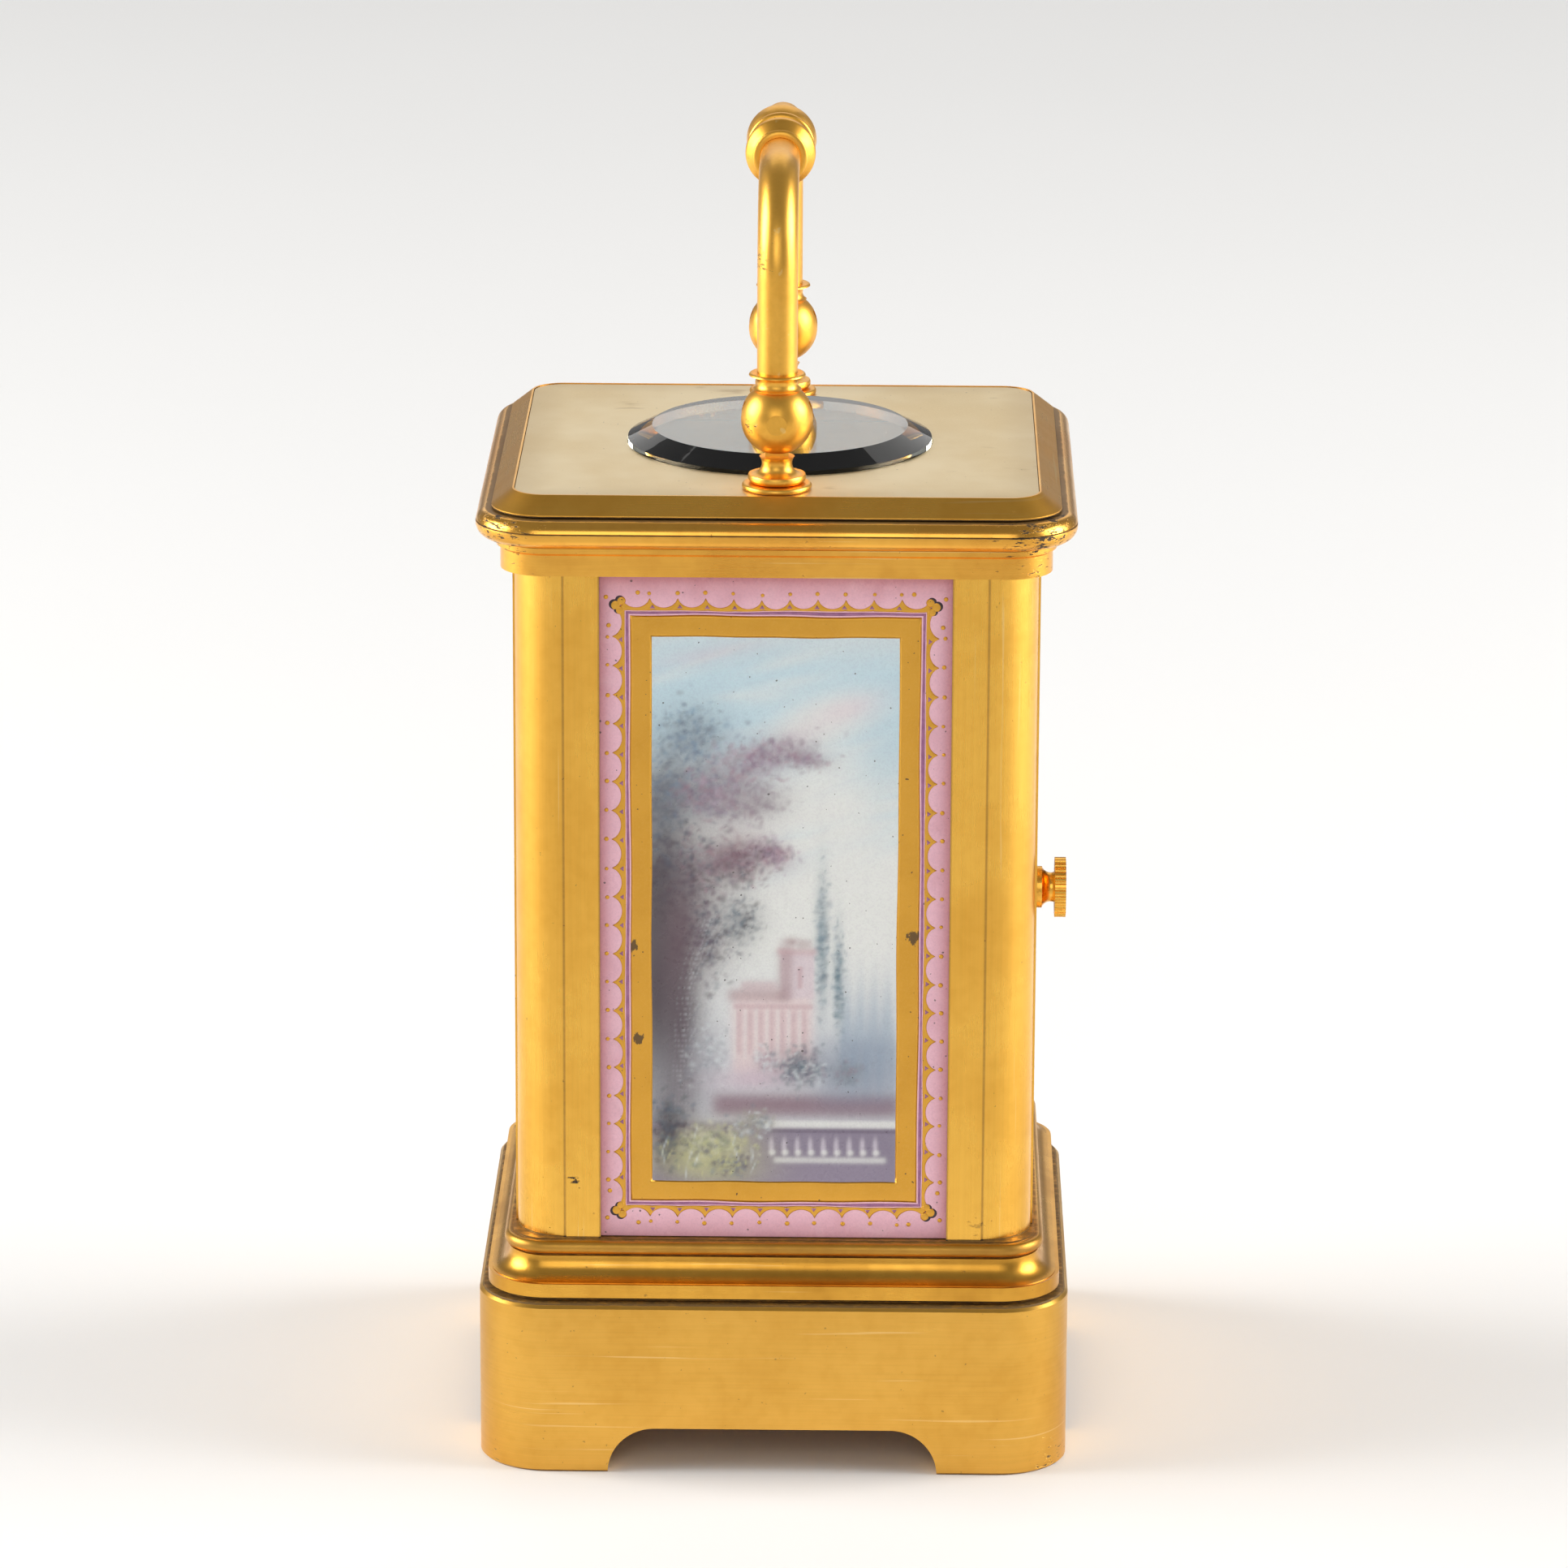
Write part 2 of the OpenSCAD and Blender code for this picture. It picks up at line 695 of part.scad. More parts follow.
module handle_post(side) {
    tongue_r = 0.9;
    bead_r = 0.45;
    color("goldenrod") translate([side * pivot_x, 0, plate_top_z - 0.06]) {
        rotate_extrude() difference() {
            union() {
                square([2.45, 0.5]);
                translate([2.45, 0.25]) circle(0.25);
                translate([0, 0.5]) square([1.8, 2 * bead_r]);
                translate([1.8, 0.5 + bead_r]) circle(bead_r);
                translate([0, 0.5 + 2 * bead_r]) square([1.75, post_top - 0.5 - 2 * bead_r]);
            }
            translate([2.02, 0.5 + 2 * bead_r + 0.62]) circle(0.85);
            translate([1.4, post_top - 0.3]) square([2, 2]);
        }
        rod_z([0, 0], stud_r, -frame_h - cornice_h + 0.5, 0.2);
        difference() {
            union() {
                translate([-tongue_t / 2, -tongue_r, post_top - 0.5])
                    cube([tongue_t, 2 * tongue_r, pivot_rise + 0.06 - post_top + 0.5]);
                rod_x([0, pivot_rise + 0.06], tongue_r, -tongue_t / 2, tongue_t / 2);
            }
            rod_x([0, pivot_rise + 0.06], handle_pin_r + run_gap, -2, 2);
        }
    }
}

module handle_post_right() {
    handle_post(1);
}

module handle_post_left() {
    handle_post(-1);
}

module post_nuts() {
    color("dimgray") for (s = [-1, 1]) difference() {
        translate([s * pivot_x, 0, cornice_z + 0.3]) rotate(30) cylinder(r = nut_r, h = nut_h, $fn = 6);
        rod_z([s * pivot_x, 0], stud_r, cornice_z, cornice_z + 2);
    }
}

pin_head_r = 0.78;
pin_head_h = 0.5;
slot_w = tongue_t + 0.16;
slot_up = 1.35;

module bail_end(side) {
    ball_flat = 0.25;
    ring_z = 2.3;
    difference() {
        union() {
            sphere(ball_r);
            rotate_extrude() difference() {
                union() {
                    translate([0, ring_z - 0.4]) square([1.55, 1.1]);
                    translate([1.5, ring_z]) circle(0.26);
                    translate([0, ring_z]) square([2.1, 1.05]);
                    translate([1.95, ring_z + 1.05]) circle(0.24);
                    translate([0, ring_z + 1.05]) square([1.95, 0.24]);
                }
                translate([2.15, ring_z + 0.52]) circle(0.58);
            }
            rod_z([0, 0], arm_r, ring_z, grip_rise - bend_r);
        }
        translate([-slot_w / 2, -ball_r - cut, -ball_r - cut])
            cube([slot_w, 2 * (ball_r + cut), ball_r + cut + slot_up]);
        translate([-ball_r, -ball_r, -ball_r - cut]) cube([2 * ball_r, 2 * ball_r, cut + ball_flat]);
        rod_x([0, 0], handle_pin_r, -ball_r - cut, ball_r + cut);
        mirrored_to(side, 1) rod_x([0, 0], pin_head_r, ball_r - pin_head_h - 0.1, ball_r + cut);
    }
}

module handle_bail() {
    color("goldenrod") translate([0, 0, pivot_z]) {
        for (s = [-1, 1]) {
            translate([s * pivot_x, 0, 0]) bail_end(s);
            translate([s * (pivot_x - bend_r), 0, grip_rise - bend_r]) mirrored_to(s, 1) rotate([90, 0, 0])
                rotate_extrude(angle = 90) translate([bend_r, 0]) circle(arm_r);
        }
        rod_x([0, grip_rise], arm_r, -(pivot_x - bend_r), pivot_x - bend_r);
    }
}

module knop_half() {
    bell_x = 2.75;
    difference() {
        union() {
            square([2.45, 0.45]);
            translate([2.45, 0]) circle(0.2);
            translate([0, 0.45]) square([1.95, 0.5]);
            polygon([[0, 0.95], [2.15, 0.95], [2.5, 1.6], [2.68, bell_x - 0.35], [2.68, bell_x + 0.15],
                [2.4, bell_x + 0.5], [2.05, 3.7], [1.85, 4.25], [0, 4.25]]);
            translate([2.45, bell_x]) circle(0.3);
            translate([0, 4.25]) square([1.9, 0.5]);
            translate([1.9, 4.5]) circle(0.25);
        }
        translate([-cut, -cut]) square([cut, 8]);
        translate([0, -2 * cut]) square([4, 2 * cut]);
    }
}

module handle_knop() {
    color("gold") translate([0, 0, pivot_z + grip_rise]) difference() {
        for (s = [-1, 1]) rotate([0, s * 90, 0]) rotate_extrude() knop_half();
        rod_x([0, 0], arm_r, -8, 8);
    }
}

module handle_pins() {
    color("gray") for (s = [-1, 1]) translate([s * pivot_x, 0, pivot_z]) mirrored_to(s, 1) {
        rod_x([0, 0], handle_pin_r, -ball_r + 0.2, ball_r - 0.4);
        rod_x([0, 0], pin_head_r, ball_r - pin_head_h - 0.1, ball_r - 0.05);
    }
}

// ---------- rear door ----------

rebate_w = 0.8;
rebate_d = 1.2;

module door_frame() {
    inner_x = door_half_w - stile_w;
    color("goldenrod") difference() {
        union() {
            translate([hinge_x, door_in_y, door_z0]) cube([door_half_w - hinge_x, door_t, door_z1 - door_z0]);
            rod_z([hinge_x, hinge_y], door_t / 2, door_z0, door_z1);
        }
        translate([-inner_x, door_in_y - cut, door_z0 + stile_w])
            cube([2 * inner_x, door_t + 2 * cut, door_z1 - door_z0 - 2 * stile_w]);
        translate([-inner_x - rebate_w, door_in_y - cut, door_z0 + stile_w - rebate_w])
            cube([2 * (inner_x + rebate_w), rebate_d + cut, door_z1 - door_z0 - 2 * (stile_w - rebate_w)]);
        rod_z([hinge_x, hinge_y], hinge_pin_r, door_z0 - cut, door_z0 + 2.5);
        rod_z([hinge_x, hinge_y], hinge_pin_r, door_z1 - 2.5, door_z1 + cut);
        rod_y([knob_x, knob_z], knob_shaft_r + run_gap, door_in_y - cut, door_out_y + cut);
    }
}

module door_glass() {
    gap = 0.05;
    half_x = door_half_w - stile_w + rebate_w - gap;
    color("lightslategray", 0.4) bevelled_pane(half_x, door_in_y + 0.1, door_in_y + rebate_d,
        door_z0 + stile_w - rebate_w + gap, door_z1 - stile_w + rebate_w - gap, 2.6, 0.5, 1);
}

module door_hinge_pins() {
    color("gray") {
        rod_z([hinge_x, hinge_y], hinge_pin_r, case_z - 1.4, door_z0 + 2.4);
        rod_z([hinge_x, hinge_y], hinge_pin_r, door_z1 - 2.4, cornice_z + 1.4);
    }
}

module door_knob() {
    collar_l = 0.7;
    neck_l = 0.8;
    disc_l = 0.88;
    collar_y = door_out_y + run_gap;
    disc_y = collar_y + collar_l + neck_l;
    color("gold") {
        translate([knob_x, collar_y, knob_z]) rotate([-90, 0, 0]) rotate_extrude() difference() {
            square([1.65, collar_l + neck_l + 0.1]);
            translate([1.9, collar_l + neck_l / 2 + 0.1]) circle(0.75);
        }
        difference() {
            rod_y([knob_x, knob_z], knob_r, disc_y, disc_y + disc_l);
            for (i = [0 : knob_flutes - 1])
                rod_y([knob_x, knob_z] + polar(knob_r + 0.05, i * 360 / knob_flutes),
                    0.16, disc_y - cut, disc_y + disc_l + cut);
        }
        rod_y([knob_x, knob_z], knob_shaft_r, door_in_y - 0.8, collar_y + 0.1);
    }
}

// Tongue on the inner end of the knob's shaft. It stands upright when the door is free.
module door_catch() {
    catch_t = 0.7;
    catch_y = door_in_y - 0.12;
    color("gold") difference() {
        union() {
            rod_y([knob_x, knob_z], 1.1, catch_y - catch_t, catch_y);
            translate([knob_x - 0.7, catch_y - catch_t, knob_z]) cube([1.4, catch_t, catch_reach]);
        }
        rod_y([knob_x, knob_z], knob_shaft_r, door_in_y - 3, door_in_y);
    }
}

// ---------- movement frame ----------

module plate_sheet(y0, y1) {
    r = 1.2;
    along_y(y0, y1) {
        translate([-plate_half_w, -movement_down + r])
            square([2 * plate_half_w, plate_top + movement_down - r]);
        translate([-plate_half_w + r, -movement_down]) square([2 * (plate_half_w - r), 2 * r]);
        for (s = [-1, 1]) translate([s * (plate_half_w - r), -movement_down + r]) circle(r);
    }
}

module plate_bores(y0, y1) {
    rod_y([0, 0], centre_arbor_r + run_gap, y0, y1);
    rod_y(third_at, pivot_r + run_gap, y0, y1);
    rod_y(contrate_at, pivot_r + run_gap, y0, y1);
    rod_y(barrel_at, barrel_journal_r + run_gap, y0, y1);
    for (at = plate_pillars) rod_y(at, plate_screw_r, y0, y1);
}

barrel_journal_r = 0.95;
plate_screw_r = 0.5;
plate_screw_in = 2.4;

module front_plate() {
    color("gold") at_movement() {
        difference() {
            plate_sheet(front_plate_y0, front_plate_y1);
            plate_bores(front_plate_y0 - cut, front_plate_y1 + cut);
            for (at = dial_feet) rod_y(at, 0.5, front_plate_y0 - cut, front_plate_y1 + cut);
            for (s = [-1, 1]) rod_z([s * 11, 9.2], 0.4, plate_top - 2.2, plate_top + cut);
        }
        rod_y(minute_at, 0.4, 4.8, front_plate_y0 + 0.2);
    }
}

module back_plate() {
    color("gold") at_movement() difference() {
        plate_sheet(back_plate_y0, back_plate_y1);
        plate_bores(back_plate_y0 - cut, back_plate_y1 + cut);
        rod_y(click_at, 0.5, back_plate_y0 - cut, back_plate_y1 + cut);
        rod_y(spring_at, 0.4, back_plate_y0 - cut, back_plate_y1 + cut);
        for (s = [-1, 1]) rod_z([s * 11, 24.2], 0.4, plate_top - 2.2, plate_top + cut);
    }
}

module movement_pillars() {
    mid_y = (front_plate_y1 + back_plate_y0) / 2;
    color("goldenrod") at_movement() for (at = plate_pillars) difference() {
        union() {
            rod_y(at, 1, front_plate_y1, back_plate_y0);
            rod_y(at, 1.4, front_plate_y1, front_plate_y1 + 1);
            rod_y(at, 1.4, back_plate_y0 - 1, back_plate_y0);
            rod_y(at, 1.3, mid_y - 0.6, mid_y + 0.6);
        }
        rod_y(at, plate_screw_r, front_plate_y1 - cut, front_plate_y1 + plate_screw_in + 0.2);
        rod_y(at, plate_screw_r, back_plate_y0 - plate_screw_in - 0.2, back_plate_y0 + cut);
    }
}

module screw_y(at, y_seat, y_tip, head_r, head_h, r) {
    back = y_tip > y_seat ? -1 : 1;
    y_head = y_seat + back * head_h;
    difference() {
        union() {
            rod_y(at, r, min(y_seat, y_tip) - (back > 0 ? 0 : 0.1),
                max(y_seat, y_tip) + (back > 0 ? 0.1 : 0));
            rod_y(at, head_r, min(y_seat, y_head), max(y_seat, y_head));
        }
        translate([at[0], y_head, at[1]]) rotate([0, 30, 0]) cube([3 * head_r, 0.5, 0.28], center = true);
    }
}

module plate_screws() {
    color("steelblue") at_movement() for (at = plate_pillars) {
        screw_y(at, front_plate_y0, front_plate_y1 + plate_screw_in, 1, 0.6, plate_screw_r);
        screw_y(at, back_plate_y1, back_plate_y0 - plate_screw_in, 1, 0.6, plate_screw_r);
    }
}

feet_top_z = dial_z - movement_scale * movement_down;

module movement_feet() {
    y0 = -glass_in_y + movement_scale * front_plate_y0;
    y1 = -glass_in_y + movement_scale * back_plate_y1;
    color("goldenrod") for (s = [-1, 1]) difference() {
        translate([s * movement_screw_x - 1.8, y0, case_z]) cube([3.6, y1 - y0, feet_top_z - case_z]);
        rod_z([s * movement_screw_x, movement_screw_y], movement_screw_r, case_z - cut, case_z + 3);
    }
}

module movement_screws() {
    head_h = 0.9;
    z0 = moulding_z + pocket_h;
    color("dimgray") for (s = [-1, 1]) difference() {
        union() {
            rod_z([s * movement_screw_x, movement_screw_y], movement_screw_r, z0 - 0.1, case_z + 2.8);
            rod_z([s * movement_screw_x, movement_screw_y], 1.7, z0 - head_h, z0);
        }
        translate([s * movement_screw_x, movement_screw_y, z0 - head_h])
            cube([5, 0.45, 0.8], center = true);
    }
}

// ---------- power ----------

barrel_y0 = 12.9;
barrel_floor_y = 14.3;
barrel_wall_y = 21.7;
barrel_y1 = 22.5;
drum_r = 9.5;
drum_wall = 0.8;

module barrel() {
    color("gold") at_movement() difference() {
        translate([barrel_at[0], 0, barrel_at[1]]) {
            along_y(barrel_y0, barrel_floor_y) rotate(90) wheel_disc(barrel_teeth, barrel_m);
            along_y(barrel_floor_y - 0.1, barrel_wall_y) difference() {
                circle(drum_r);
                circle(drum_r - drum_wall);
            }
        }
        rod_y(barrel_at, barrel_journal_r + 0.1 + run_gap, barrel_y0 - cut, barrel_floor_y + cut);
    }
}

module barrel_cap() {
    color("goldenrod") at_movement() difference() {
        rod_y(barrel_at, drum_r, barrel_wall_y, barrel_y1);
        rod_y(barrel_at, barrel_journal_r + 0.1 + run_gap, barrel_wall_y - cut, barrel_y1 + cut);
        rod_y(barrel_at + [6.2, 0], 0.8, barrel_wall_y - cut, barrel_y1 + cut);
    }
}

// A flat spiral strip: turns, inner and outer radius, and thickness
function spiral_side(turns, r0, r1, steps, shift) = [for (i = [0 : steps])
    polar(r0 + (r1 - r0) * i / steps + shift, 360 * turns * i / steps)];
function reversed(list) = [for (i = [len(list) - 1 : -1 : 0]) list[i]];

module spiral(turns, r0, r1, t, steps) {
    polygon(concat(spiral_side(turns, r0, r1, steps, -t / 2),
        reversed(spiral_side(turns, r0, r1, steps, t / 2))));
}

module mainspring() {
    color("slategray") at_movement() translate([barrel_at[0], 0, barrel_at[1]])
        along_y(barrel_floor_y + 0.15, barrel_wall_y - 0.15)
            spiral(9, 1.95, drum_r - drum_wall - 0.2, 0.24, 180);
}

module barrel_arbor() {
    square_w = 1.25;
    color("silver") at_movement() {
        rod_y(barrel_at, barrel_journal_r, front_plate_y0 + 0.1, 25);
        rod_y(barrel_at, barrel_journal_r + 0.1, barrel_y0 - 0.6, barrel_y1 + 0.4);
        rod_y(barrel_at, 1.6, barrel_floor_y + 0.1, barrel_wall_y - 0.1);
        translate([barrel_at[0] - square_w / 2, 24.9, barrel_at[1] - square_w / 2])
            cube([square_w, 5.1, square_w]);
    }
}

function ratchet_outline(n, r_root, r_tip) = [for (i = [0 : n - 1]) for (r = [r_root, r_tip])
    polar(r, i * 360 / n)];

module ratchet_wheel() {
    square_w = 1.25;
    color("gray") at_movement() translate([barrel_at[0], 0, barrel_at[1]]) along_y(25.05, 25.95)
    difference() {
        rotate(ratchet_phase) polygon(ratchet_outline(ratchet_teeth, ratchet_root_r, ratchet_r));
        square(square_w, center = true);
    }
}

module click() {
    gap_angle = 1.2;
    pitch = 360 / ratchet_teeth;
    tip = barrel_at + polar(ratchet_root_r + 0.1, ratchet_phase - gap_angle);
    heel = barrel_at + polar(ratchet_r + 0.12, ratchet_phase - pitch + gap_angle);
    nose = barrel_at + polar(ratchet_r + 0.55, ratchet_phase - gap_angle);
    color("gray") at_movement() along_y(25.05, 25.85) difference() {
        union() {
            polygon([tip, heel, click_at + [-0.5, -0.85], click_at + [0.3, 0.95],
                click_at + [-1.2, 1.1], nose]);
            translate(click_at) circle(1.05);
        }
        translate(click_at) circle(0.5 + run_gap);
    }
}

module click_screw() {
    color("steelblue") at_movement() {
        rod_y(click_at, 0.5, back_plate_y0 + 0.1, 25.95);
        difference() {
            rod_y(click_at, 0.95, 25.92, 26.45);
            translate([click_at[0], 26.45, click_at[1]]) cube([3, 0.5, 0.26], center = true);
        }
    }
}

spring_at = click_at + [-0.6, 6.6];

// Bent strip that presses on the back of the click, with the screw that holds its foot
module click_spring() {
    bend = click_at + [-3.2, 5.8];
    tip = click_at + [-2.2, 1.62];
    t = 0.14;
    color("slategray") at_movement() {
        along_y(25.1, 25.7) {
            translate(spring_at) circle(0.9);
            polygon([spring_at + [-0.4, -0.8], spring_at + [-0.4, -0.8 + 3 * t],
                bend + [0, t], bend + [-t, 0],
                tip + [-t, 0], tip + [t, 0], bend + [t, -t]]);
        }
        rod_y(spring_at, 0.4, back_plate_y0 + 0.2, 25.8);
        rod_y(spring_at, 0.75, 25.65, 26.1);
    }
}

// ---------- going train ----------

module centre_wheel() {
    tube_r = 0.98;
    color("gold") at_movement() difference() {
        union() {
            along_y(10.9, 11.6) rotate(third_angle) difference() {
                wheel_disc(centre_teeth, train_m);
                crossings(1.8, 6.9, 5, 0.8);
            }
            along_y(12.4, 14.8) rotate(270 + 180 / centre_leaves) pinion_disc(centre_leaves, barrel_m);
            rod_y([0, 0], tube_r - 0.05, 10.2, 14.9);
        }
        rod_y([0, 0], centre_arbor_r + run_gap, 9, 16);
    }
}

module third_wheel() {
    color("gold") at_movement() {
        along_y(10.5, 12.1) translate(third_at) rotate(third_angle + 180 + 180 / third_leaves)
            pinion_disc(third_leaves, train_m);
        along_y(15.9, 16.5) translate(third_at) rotate(contrate_angle) difference() {
            wheel_disc(third_teeth, train_m);
            crossings(1.3, 5.1, 5, 0.7);
        }
        rod_y(third_at, arbor_r, 10.1, 23.3);
        rod_y(third_at, pivot_r, 8.7, 24.7);
    }
}

module contrate_wheel() {
    tooth_w = 0.19;
    tooth_h = 0.75;
    rim_y = crown_tip_y - tooth_h;
    color("gold") at_movement() {
        along_y(15.3, 17) translate(contrate_at) rotate(contrate_angle + 180 + 180 / contrate_leaves)
            pinion_disc(contrate_leaves, train_m);
        along_y(17.9, 18.4) translate(contrate_at) difference() {
            circle(crown_r + crown_w / 2);
            crossings(1.2, crown_r - crown_w, 4, 0.7);
        }
        along_y(18.3, rim_y) translate(contrate_at) difference() {
            circle(crown_r + crown_w / 2);
            circle(crown_r - crown_w / 2);
        }
        along_y(rim_y - 0.1, crown_tip_y) translate(contrate_at) for (i = [0 : contrate_teeth - 1])
            rotate(i * 360 / contrate_teeth) translate([crown_r - crown_w / 2 + 0.03, -tooth_w / 2])
                square([crown_w - 0.06, tooth_w]);
        rod_y(contrate_at, arbor_r, 10.1, 23.3);
        rod_y(contrate_at, pivot_r, 8.7, 24.7);
    }
}

// ---------- platform escapement ----------

module above(z0, z1) {
    translate([0, 0, z0]) linear_extrude(z1 - z0) children();
}

// Bracket that hangs from the platform and holds the lower pivot of the escape wheel
potence_z = contrate_at[1] + crown_r - 2.4;

module platform() {
    color("gold") at_movement() difference() {
        union() {
            above(platform_z, platform_top) translate([0, (front_plate_y0 + back_plate_y1) / 2])
                round_rect(12.6, (back_plate_y1 - front_plate_y0) / 2 - 0.15, 1.2);
            translate([escape_at[0] - 0.9, escape_at[1] + 1.15, potence_z])
                cube([1.8, 1, platform_z - potence_z + 0.2]);
            translate([escape_at[0] - 0.9, escape_at[1] - 0.8, potence_z]) cube([1.8, 2.5, 0.7]);
        }
        rod_z(escape_at, 0.95, platform_z - 0.1, platform_z + 0.5);
        rod_z(escape_at, 0.35 + run_gap, platform_z, platform_top + cut);
        rod_z(escape_at, 0.2 + run_gap, potence_z - cut, potence_z + cut);
        rod_z(lever_at, 0.2 + run_gap, platform_z - cut, platform_top + cut);
        rod_z(balance_at, staff_r + run_gap, platform_z + 0.4, platform_top + cut);
        for (at = platform_screw_at) rod_z(at, 0.4 + run_gap, platform_z - cut, platform_top + cut);
        for (at = bridge_screw_at) rod_z(at, 0.35, platform_z - cut, platform_top + cut);
        for (at = cock_screw_at) rod_z(at, 0.45, platform_z - cut, platform_top + cut);
    }
}

platform_screw_at = [for (sx = [-1, 1]) for (y = [9.2, 24.2]) [sx * 11, y]];
bridge_screw_at = [lever_at + [0.6, 4], lever_at + [4.6, -5.2]];
cock_screw_at = [[-9.9, balance_at[1]]];

module escape_wheel() {
    teeth = 15;
    root_r = 2.05;
    tip_r = 2.7;
    tooth = [[root_r, 0], [tip_r, 6.5], [tip_r, 8], [root_r, 10.5]];
    color("gold") at_movement() {
        above(escape_z, escape_z + 0.35) translate(escape_at) difference() {
            rotate(escape_line + 12) polygon([for (i = [0 : teeth - 1]) for (q = tooth)
                polar(q[0], i * 360 / teeth + q[1])]);
            crossings(0.7, 1.7, 4, 0.35);
        }
        above(contrate_at[1] + crown_r - 0.9, platform_z + 0.3) translate(escape_at)
            rotate(180 / escape_leaves) pinion_disc(escape_leaves, escape_m);
        rod_z(escape_at, 0.35, contrate_at[1] + crown_r - 1.4, bridge_z - 0.15);
        rod_z(escape_at, 0.2, potence_z + 0.1, bridge_z + 0.4);
    }
}

// Anchor with two pallets on one side and the fork on the other. The pallets stand just clear of the wheel.
module pallet_lever() {
    reach = 2.8;
    color("silver") at_movement() {
        above(escape_z - 0.05, escape_z + 0.4) translate(lever_at) rotate(escape_line) {
            difference() {
                union() {
                    translate([-0.35, -2.2]) square([0.7, 4.4]);
                    translate([-1.5, 1.75]) square([1.8, 0.45]);
                    translate([-1.5, -2.2]) square([1.8, 0.45]);
                    translate([0, -0.25]) square([reach, 0.5]);
                    translate([reach, -0.7]) square([0.9, 1.4]);
                }
                translate([reach + 0.3, -0.25]) square([1, 0.5]);
            }
            translate([-3.7, 0]) intersection() {
                difference() {
                    circle(3.6);
                    circle(2.8);
                }
                for (s = [-1, 1]) rotate(s * 36) translate([0, -0.25]) square([4, 0.5]);
            }
        }
        rod_z(lever_at, 0.3, platform_top + 0.12, bridge_z - 0.12);
        rod_z(lever_at, 0.2, platform_top - 0.6, bridge_z + 0.4);
    }
}

module pallet_bridge() {
    foot = 0.95;
    t = 0.5;
    color("gold") at_movement() difference() {
        union() {
            above(bridge_z, bridge_z + t) {
                bar(bridge_screw_at[0], lever_at, 0.95);
                bar(lever_at, escape_at, 0.9);
                bar(escape_at, bridge_screw_at[1], 0.95);
            }
            for (at = bridge_screw_at) rod_z(at, foot, platform_top, bridge_z + 0.1);
        }
        rod_z(escape_at, 0.2 + run_gap, bridge_z - cut, bridge_z + 0.5 + cut);
        rod_z(lever_at, 0.2 + run_gap, bridge_z - cut, bridge_z + 0.5 + cut);
        for (at = bridge_screw_at) rod_z(at, 0.35, platform_top - cut, bridge_z + t + cut);
    }
}

// A straight bar with round ends between two points
module bar(a, b, r) {
    d = b - a;
    translate(a) circle(r);
    translate(b) circle(r);
    translate(a) rotate(atan2(d[1], d[0])) translate([0, -r]) square([norm(d), 2 * r]);
}

module platform_screws() {
    color("steelblue") at_movement() {
        for (at = platform_screw_at) screw_z(at, platform_top, plate_top - 2, 0.8, 0.45, 0.4);
        for (at = bridge_screw_at) screw_z(at, bridge_z + 0.5, platform_z + 0.1, 0.65, 0.35, 0.35);
        for (at = cock_screw_at) screw_z(at, index_z, platform_z + 0.1, 0.9, 0.45, 0.45);
    }
}

module screw_z(at, z_seat, z_tip, head_r, head_h, r) {
    difference() {
        union() {
            rod_z(at, r, z_tip, z_seat + 0.1);
            rod_z(at, head_r, z_seat, z_seat + head_h);
        }
        translate([at[0], at[1], z_seat + head_h]) rotate(25) cube([3 * head_r, 0.24, 0.4], center = true);
    }
}

module balance_wheel() {
    roller_z = escape_z + 0.55;
    screws = 12;
    color("darkgoldenrod") at_movement() {
        above(balance_z, balance_z + 0.5) translate(balance_at) {
            difference() {
                circle(balance_r);
                circle(balance_r - 0.55);
            }
            rotate(70) square([2 * balance_r - 0.6, 0.55], center = true);
            circle(0.7);
        }
        for (i = [0 : screws - 1]) translate([balance_at[0], balance_at[1], balance_z + 0.25])
            rotate(i * 360 / screws + 10) rod_x([0, 0], 0.2, balance_r - 0.2, balance_r + 0.35);
        rod_z(balance_at, 0.75, roller_z, roller_z + 0.3);
        rod_z(balance_at + polar(0.55, escape_line + 180), 0.09, roller_z - 0.1, roller_z + 0.1);
        rod_z(balance_at, 0.4, roller_z - 0.1, hairspring_z + 0.3);
        rod_z(balance_at, staff_r, platform_z + 0.6, cock_z + 0.5);
    }
}

module hairspring() {
    color("steelblue") at_movement() above(hairspring_z, hairspring_z + 0.22) translate(balance_at)
        spiral(6, 0.48, 2.7, 0.07, 144);
}

module balance_cock() {
    foot_x = cock_screw_at[0][0];
    color("gold") at_movement() difference() {
        union() {
            above(cock_z, cock_z + cock_t) {
                bar([foot_x, balance_at[1]], balance_at, 1.25);
                translate(balance_at) circle(1.6);
            }
            translate([foot_x - 1.5, balance_at[1] - 2.2, platform_top])
                cube([2.9, 4.4, cock_z + cock_t - platform_top]);
            rod_z(balance_at + polar(2.68, 180), 0.22, hairspring_z + 0.24, cock_z + 0.1);
        }
        rod_z(balance_at, staff_r + run_gap, cock_z - cut, cock_z + cock_t + cut);
        for (at = cock_screw_at) rod_z(at, 0.45, platform_top - cut, cock_z + cock_t + cut);
    }
}

// Ring that grips a boss on the cock, with a pointer, and the jewel setting over the staff
module regulator_index() {
    color("silver") at_movement() above(index_z + 0.02, index_z + 0.27) translate(balance_at) difference() {
        union() {
            circle(1.25);
            rotate(180) polygon([[0.9, -0.45], [4.6, -0.12], [4.9, 0], [4.6, 0.12], [0.9, 0.45]]);
            rotate(-20) polygon([[0.9, -0.3], [2.4, -0.15], [2.4, 0.15], [0.9, 0.3]]);
        }
        circle(0.45);
    }
}

